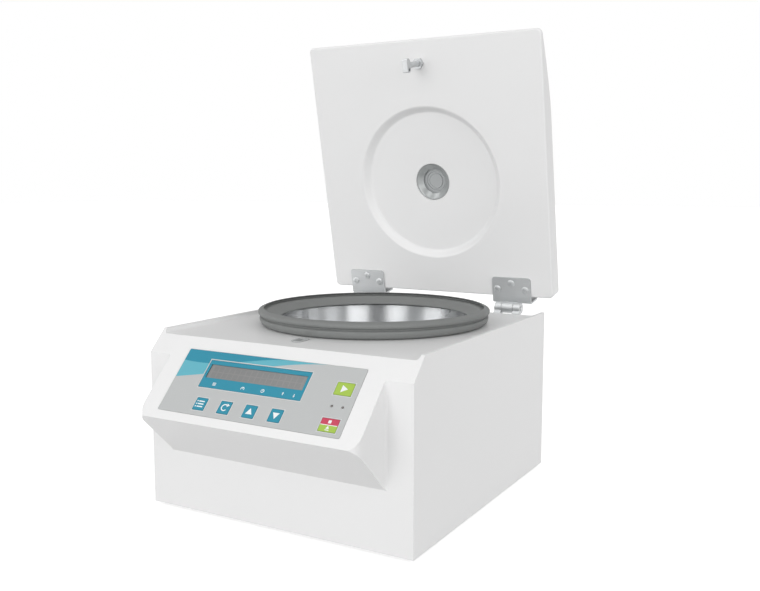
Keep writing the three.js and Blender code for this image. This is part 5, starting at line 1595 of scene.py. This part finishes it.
@dataclass
class Rear(Placed):
    """The rear panel with its vents, the mains inlet, the fuse drawer and the mains switch.

    A block is given as its width, its height, its inner end and its outer end.
    """

    width: float = 272.4
    height: float = 157.7
    lift: float = 0.3
    thickness: float = 2.5
    vents: int = 9
    screw_x: float = 128.0
    screw_rows: tuple[float, ...] = (8.0, 80.0, 150.0)
    inlet: tuple[float, float] = (84.0, 36.0)
    inlet_hole: tuple[float, float] = (28.6, 34.6)
    inlet_flange: tuple[float, float, float] = (48, 38, 2.5)
    inlet_screw_x: float = 20.0
    inlet_face: float = 2.8
    inlet_body: Block = (28, 34, -22, 1.5)
    blade: Block = (2, 5, -12.6, -1.7)
    blades: tuple[tuple[float, float], ...] = ((-7.0, 4.4), (0.0, 8.4), (7.0, 4.4))
    fuse_drop: float = 9.6
    fuse_well: Block = (21.6, 7.0, -14.5, 5)
    drawer: Block = (21, 6.4, -14.2, 3.8)
    drawer_grip: Block = (8, 1.0, 3, 4.2)
    grip_up: float = 2.2
    rocker_x: float = 44.0
    rocker_hole: tuple[float, float] = (22.6, 31.6)
    rocker_frame: tuple[float, float, float] = (26, 35, 2)
    rocker_face: float = 1.9
    rocker_body: Block = (22, 31, -18, 1)
    rocker_well: tuple[float, float] = (14.2, 8.7)
    rocker_width: float = 13.0
    rocker_seat: float = -2.5
    rocker_swing: tuple[float, float] = (11.0, 4.6)
    rocker_arc: tuple[float, float] = (16.6, 15.4)
    rocker_tip: float = 0.6
    tilt: float = 9.0
    sign_up: float = 6.4
    sign_slope: float = 24.0

    def place(self) -> Matrix:
        """Returns the frame of the rear panel, seen from behind."""
        return PLACES.back()

    def build(self) -> None:
        """Makes the rear panel's pieces."""
        ix, iz = self.inlet
        panel = box(self.width, self.height, -self.thickness, 0, 0, self.lift + self.height / 2)
        cuts = [box(*self.inlet_hole, -5, 5, ix, iz), box(*self.rocker_hole, -5, 5, self.rocker_x, iz),
                vent_cutter(self.vents, -ix, iz)]
        panel = edged(tidied(carved(panel, *cuts)), 0.3, 2, SQUARE)
        self._on(panel, "rear_panel_sheet", GREY_POWDER, "machine", "rear_panel")
        points = [(side * self.screw_x, z, 0.0) for side in (-1, 1) for z in self.screw_rows]
        points += [(ix + side * self.inlet_screw_x, iz, self.inlet_face) for side in (-1, 1)]
        heads = ON_POINTS.copies(screw_head(2.9, 1.4, 3.2), SCREW_STEEL, points)
        self._on(heads, "rear_screws", SCREW_STEEL, "machine")
        self._inlet(ix, iz)
        self._switch(self.rocker_x, iz)

    def _inlet(self, x: float, z: float) -> None:
        """Makes the mains inlet and its fuse drawer.

        Args:
            x: the inlet's middle.
            z: the height of its middle.
        """
        body = joined(prism(rectangle(*self.inlet_flange), FIT, self.inlet_face), box(*self.inlet_body))
        socket = softened([(-12, -1.9, 1), (12, -1.9, 1), (12, 10.2, 0.8), (7.5, 14.7, 0.8), (-7.5, 14.7, 0.8),
                           (-12, 10.2, 0.8)])
        body = carved(edged(tidied(body), 0.6, 3, SQUARE), prism(socket, -12.2, 5),
                      box(*self.fuse_well, 0, -self.fuse_drop))
        self._on(shifted(body, x, z), "power_inlet_body", BLACK_PLASTIC, "machine", "power_inlet")
        blades = bmesh.new()
        for place in self.blades:
            blade = edged(box(*self.blade, *place), 0.35, 2, SQUARE)
            blades.from_mesh(blade.data)
            bpy.data.objects.remove(blade)
        self._on(shifted(shape("blades", blades), x, z), "power_inlet_blades", SCREW_STEEL, "machine")
        drawer = edged(box(*self.drawer), 0.4, 2, SQUARE)
        drawer = joined(drawer, edged(box(*self.drawer_grip, 0, self.grip_up), 0.2, 2, SQUARE))
        drawer = shifted(drawer, x, z - self.fuse_drop)
        self._on(drawer, "fuse_drawer_front", BLACK_PLASTIC, "fuse_tray", "fuse_drawer")

    def _switch(self, x: float, z: float) -> None:
        """Makes the mains switch with its signs.

        Args:
            x: the switch's middle.
            z: the height of its middle.
        """
        frame_body = joined(prism(rectangle(*self.rocker_frame), FIT, self.rocker_face), box(*self.rocker_body))
        across, deep = self.rocker_well
        well = box(across, 2 * (math.hypot(*self.rocker_swing) + 2 * FIT), -deep, 5)
        frame_body = carved(edged(tidied(frame_body), 0.5, 3, SQUARE), well)
        self._on(shifted(frame_body, x, z), "rocker_frame_body", BLACK_PLASTIC, "machine", "rocker_frame")
        middle, radius = self.rocker_arc
        curve = [(y, h + self.rocker_tip) for y, h in arc((0, middle), radius, 225.6, 314.4, 10)]
        side = [(-5, -5), (5, -5), (11, -1), *reversed(curve), (-11, -1)]
        rocker = edged(prism(side, -self.rocker_width / 2, self.rocker_width / 2, Axis.X), 0.4, 3, 45.0)
        seat = Matrix.Translation((x, z, self.rocker_seat)) @ turned_about_x(self.tilt)
        self._on(moved(rocker, seat), "power_rocker_cap", BLACK_PLASTIC, "rocker", "power_rocker")
        height = middle + self.rocker_tip - math.sqrt(radius ** 2 - self.sign_up ** 2)
        for name, outline, way in (("on", bar_sign(0.7, 3.6), 1), ("off", ring_sign(2.0, 0.6), -1)):
            spot = seat @ Matrix.Translation((0, way * self.sign_up, height)) @ turned_about_x(way * self.sign_slope)
            self._on(moved(prism(outline, -0.03, 0.05), spot), f"rocker_sign_{name}", PANEL_WHITE, "rocker")


@dataclass
class Underside:
    """The base plate and the rubber feet."""

    width: float = 272.4
    length: float = 291.4
    middle: float = 149.5
    span: tuple[float, float] = (0.6, 2.6)
    vents: int = 9
    post_radius: float = 3.0
    post_top: float = 9.6
    posts: tuple[tuple[float, float], tuple[float, float]] = ((-119.0, 19.0), (18.0, 92.0))
    screw_x: float = 128.0
    screw_rows: tuple[float, ...] = (14.0, 100.0, 190.0, 284.0)
    foot_inset: float = 30.0
    casing_width: float = 280.0

    def build(self) -> None:
        """Makes the base plate, its screws and the feet."""
        low, high = self.span
        plate = edged(box(self.width, self.length, low, high, 0, self.middle), 0.3, 2, SQUARE)
        plate = carved(plate, vent_cutter(self.vents, 0, PLACES.bowl_back))
        columns, rows = self.posts
        plate = joined(plate, *[shifted(rod(self.post_radius, low + 1, self.post_top), x, y)
                                for y in rows for x in columns])
        finished(plate, "base_plate_sheet", GREY_POWDER, "machine", "base_plate")
        points = [(side * self.screw_x, y, 0.0) for side in (-1, 1) for y in self.screw_rows]
        heads = hung(ON_POINTS.copies(screw_head(), SCREW_STEEL, points))
        finished(shifted(heads, z=low), "base_screws", SCREW_STEEL, "machine")
        inset, half = self.foot_inset, self.casing_width / 2
        for end, y in (("front", inset), ("rear", PLACES.depth - inset)):
            for side, x in (("left", inset - half), ("right", half - inset)):
                pad = turned([(0, -2.2), (3.2, -2.2), (3.8, -2.6), (4.6, -3.0), (8.4, -3.0), (9.0, -2.8), (9.4, -2.4),
                              (10.9, -0.4), (11, 0), (11, 0.3), (0, 0.3)], 48)
                finished(shifted(pad, x, y), f"{end}_{side}_pad", BLACK_RUBBER, "machine", f"foot_{end}_{side}")


def dress_inside() -> None:
    """Gives every solid that is still shown its finish."""
    finishes = {f.slot: f for f in (CAST, WINDING, BOARD, BLACK_PLASTIC, BLACK_RUBBER, ZINC, BOWL_STEEL, ANODISED)}
    slots = {part["node"]: part["material_slot"] for part in frame["record"]["subparts"]}
    for name, node in frame["nodes"].items():
        if node.hide_render:
            continue
        finish = finishes.get(slots[name])
        if finish is None:
            LOG.warning("no finish for %s", name)
            continue
        for slot in node.material_slots:
            slot.material = finish.material()
        LOG.info("%s keeps its solid and takes %s", name, finish.name)


@dataclass(frozen=True)
class Lamp:
    """A soft square lamp that no reflection shows, with places in metres and its power in watts."""

    name: str
    place: Point
    aim: Point
    size: float
    power: float

    def build(self) -> None:
        """Adds the lamp."""
        data = bpy.data.lights.new(self.name, "AREA")
        data.size = self.size
        data.energy = self.power
        lamp = added(self.name, data)
        lamp.visible_glossy = False
        lamp.location = self.place
        lamp.rotation_euler = (Vector(self.aim) - Vector(self.place)).to_track_quat("-Z", "Y").to_euler()


@dataclass
class Studio:
    """The camera, the lamps, the pale floor and the world.

    Each strip is a tall band of light in the world, given as the angle of its middle, half its width, both in
    degrees, and its strength. Its edge runs softly from the first of strip_edge outside to the second inside.
    """

    lens: float = 42.41
    sensor: float = 36.0
    yaw: float = 29.953
    pitch: float = 7.02
    position: Point = (461.20, -611.07, 300.75)
    lamps: tuple[Lamp, ...] = (
        Lamp("front", (-0.6, -2.6, 0.9), (0, 0, 0.15), 1.8, 16),
        Lamp("low", (-0.2, -2.4, 0.5), (0, 0, 0.2), 1.0, 7),
        Lamp("side", (2.6, -0.7, 1.0), (0, 0, 0.2), 1.6, 15),
    )
    floor_half: float = 12.0
    floor_tone: float = 0.5
    floor_roughness: float = 0.9
    floor_glow: float = 0.78
    horizon: float = 0.93
    zenith: float = 0.6
    rise: tuple[float, float] = (0.1, 0.8)
    strips: tuple[tuple[float, float, float], ...] = ((43, 14, 0.95), (93, 12, 0.9), (140, 12, 1.0), (190, 30, 0.36),
                                                      (250, 14, 0.3), (345, 12, 0.3))
    strip_edge: tuple[float, float] = (4.0, 3.0)
    gap: float = 0.15
    gain: float = 3.0

    def camera(self) -> None:
        """Sets the camera to the photograph's view."""
        data = bpy.data.cameras.new("camera")
        data.lens = self.lens
        data.sensor_width = self.sensor
        data.clip_start, data.clip_end = 0.01, 50.0
        camera = added("camera", data)
        camera.location = PLACES.row() @ Vector(self.position)
        yaw, pitch = math.radians(self.yaw), math.radians(self.pitch)
        forward = Vector((-math.sin(yaw) * math.cos(pitch), math.cos(yaw) * math.cos(pitch), -math.sin(pitch)))
        camera.rotation_euler = forward.to_track_quat("-Z", "Y").to_euler()
        bpy.context.scene.camera = camera

    def floor(self) -> None:
        """Lays the pale floor, which keeps the object's shadow."""
        mesh = bmesh.new()
        bmesh.ops.create_grid(mesh, x_segments=2, y_segments=2, size=self.floor_half)
        floor = shape("floor", mesh)
        material = bpy.data.materials.new("pale_floor")
        material.use_nodes = True
        nodes = Nodes(material.node_tree)
        shader = nodes.tree.nodes["Principled BSDF"]
        nodes.feed(shader, {"Base Color": (*[self.floor_tone] * 3, 1), "Roughness": self.floor_roughness})
        seen = self._any(nodes, "Is Camera Ray", "Is Transmission Ray", "Is Glossy Ray")
        glow = nodes.add("ShaderNodeEmission", {"Strength": nodes.sum("MULTIPLY", seen, self.floor_glow)})
        both = nodes.add("ShaderNodeAddShader", {0: shader.outputs["BSDF"], 1: glow.outputs["Emission"]})
        nodes.feed(nodes.tree.nodes["Material Output"], {"Surface": both.outputs["Shader"]})
        floor.data.materials.append(material)

    @staticmethod
    def _any(nodes: Nodes, *kinds: str) -> Socket:
        """Tells whether a ray is of one of some kinds.

        Args:
            nodes: the nodes of the tree that asks.
            kinds: the names of the kinds.

        Returns:
            1 where it is, and otherwise 0.
        """
        rays = nodes.add("ShaderNodeLightPath").outputs
        found = rays[kinds[0]]
        for kind in kinds[1:]:
            found = nodes.sum("MAXIMUM", found, rays[kind])
        return found

    def world(self) -> None:
        """Makes the surrounding light: white where the camera sees it, and strips where metal mirrors it."""
        world = bpy.data.worlds.new("studio")
        bpy.context.scene.world = world
        world.use_nodes = True
        nodes = Nodes(world.node_tree)
        place = nodes.add("ShaderNodeTexCoord")
        apart = nodes.add("ShaderNodeSeparateXYZ", {"Vector": place.outputs["Generated"]})
        soft = nodes.add("ShaderNodeMapRange", {
            "Value": apart.outputs["Z"], "From Min": self.rise[0], "From Max": self.rise[1],
            "To Min": self.horizon, "To Max": self.zenith,
        }, interpolation_type="SMOOTHSTEP")
        level = nodes.add("ShaderNodeMapRange", {
            "Value": self._any(nodes, "Is Glossy Ray"), "To Min": soft.outputs["Result"],
            "To Max": self._strips(nodes, apart),
        })
        shown = nodes.add("ShaderNodeMapRange", {
            "Value": self._any(nodes, "Is Camera Ray", "Is Transmission Ray"), "To Min": level.outputs["Result"],
            "To Max": 1.0,
        })
        nodes.feed(nodes.tree.nodes["Background"], {"Color": (1, 1, 1, 1), "Strength": shown.outputs["Result"]})

    def _strips(self, nodes: Nodes, apart: bpy.types.Node) -> Socket:
        """Makes the tall soft strips of light that the steel of the bowl shows.

        Args:
            nodes: the world's nodes.
            apart: the node that gives the direction.

        Returns:
            How strong they are by direction.
        """
        angle = nodes.sum("ARCTAN2", apart.outputs["Y"], apart.outputs["X"])
        turns = nodes.add("ShaderNodeMapRange", {"Value": angle, "From Min": -math.pi, "From Max": math.pi})
        ramp = nodes.add("ShaderNodeValToRGB", {"Fac": turns.outputs["Result"]})
        ramp.color_ramp.interpolation = "EASE"
        stops = ramp.color_ramp.elements
        out, back = self.strip_edge
        for middle, half, bright in self.strips:
            edge = ((-half - out, self.gap), (-half + back, bright), (half - back, bright), (half + out, self.gap))
            for offset, level in edge:
                stops.new((middle + offset) / 360.0).color = (level, level, level, 1)
        for stop in (stops[0], stops[-1]):
            stop.color = (self.gap, self.gap, self.gap, 1)
        return nodes.sum("MULTIPLY", ramp.outputs["Color"], self.gain)

    def build(self) -> None:
        """Sets up the studio."""
        bpy.context.scene.view_settings.view_transform = "Standard"
        self.camera()
        self.floor()
        self.world()
        for lamp in self.lamps:
            lamp.build()


def main() -> None:
    """Builds the whole scene."""
    Studio().build()
    panel = ControlPanel()
    Casing().build(panel)
    for part in (panel, BowlAndSeal(), Latch(), Lid(), Hinges(), Rotor(), Rear(), Underside()):
        part.build()
        LOG.info("%s is done", type(part).__name__)
    dress_inside()


if __name__ == "__main__":
    main()
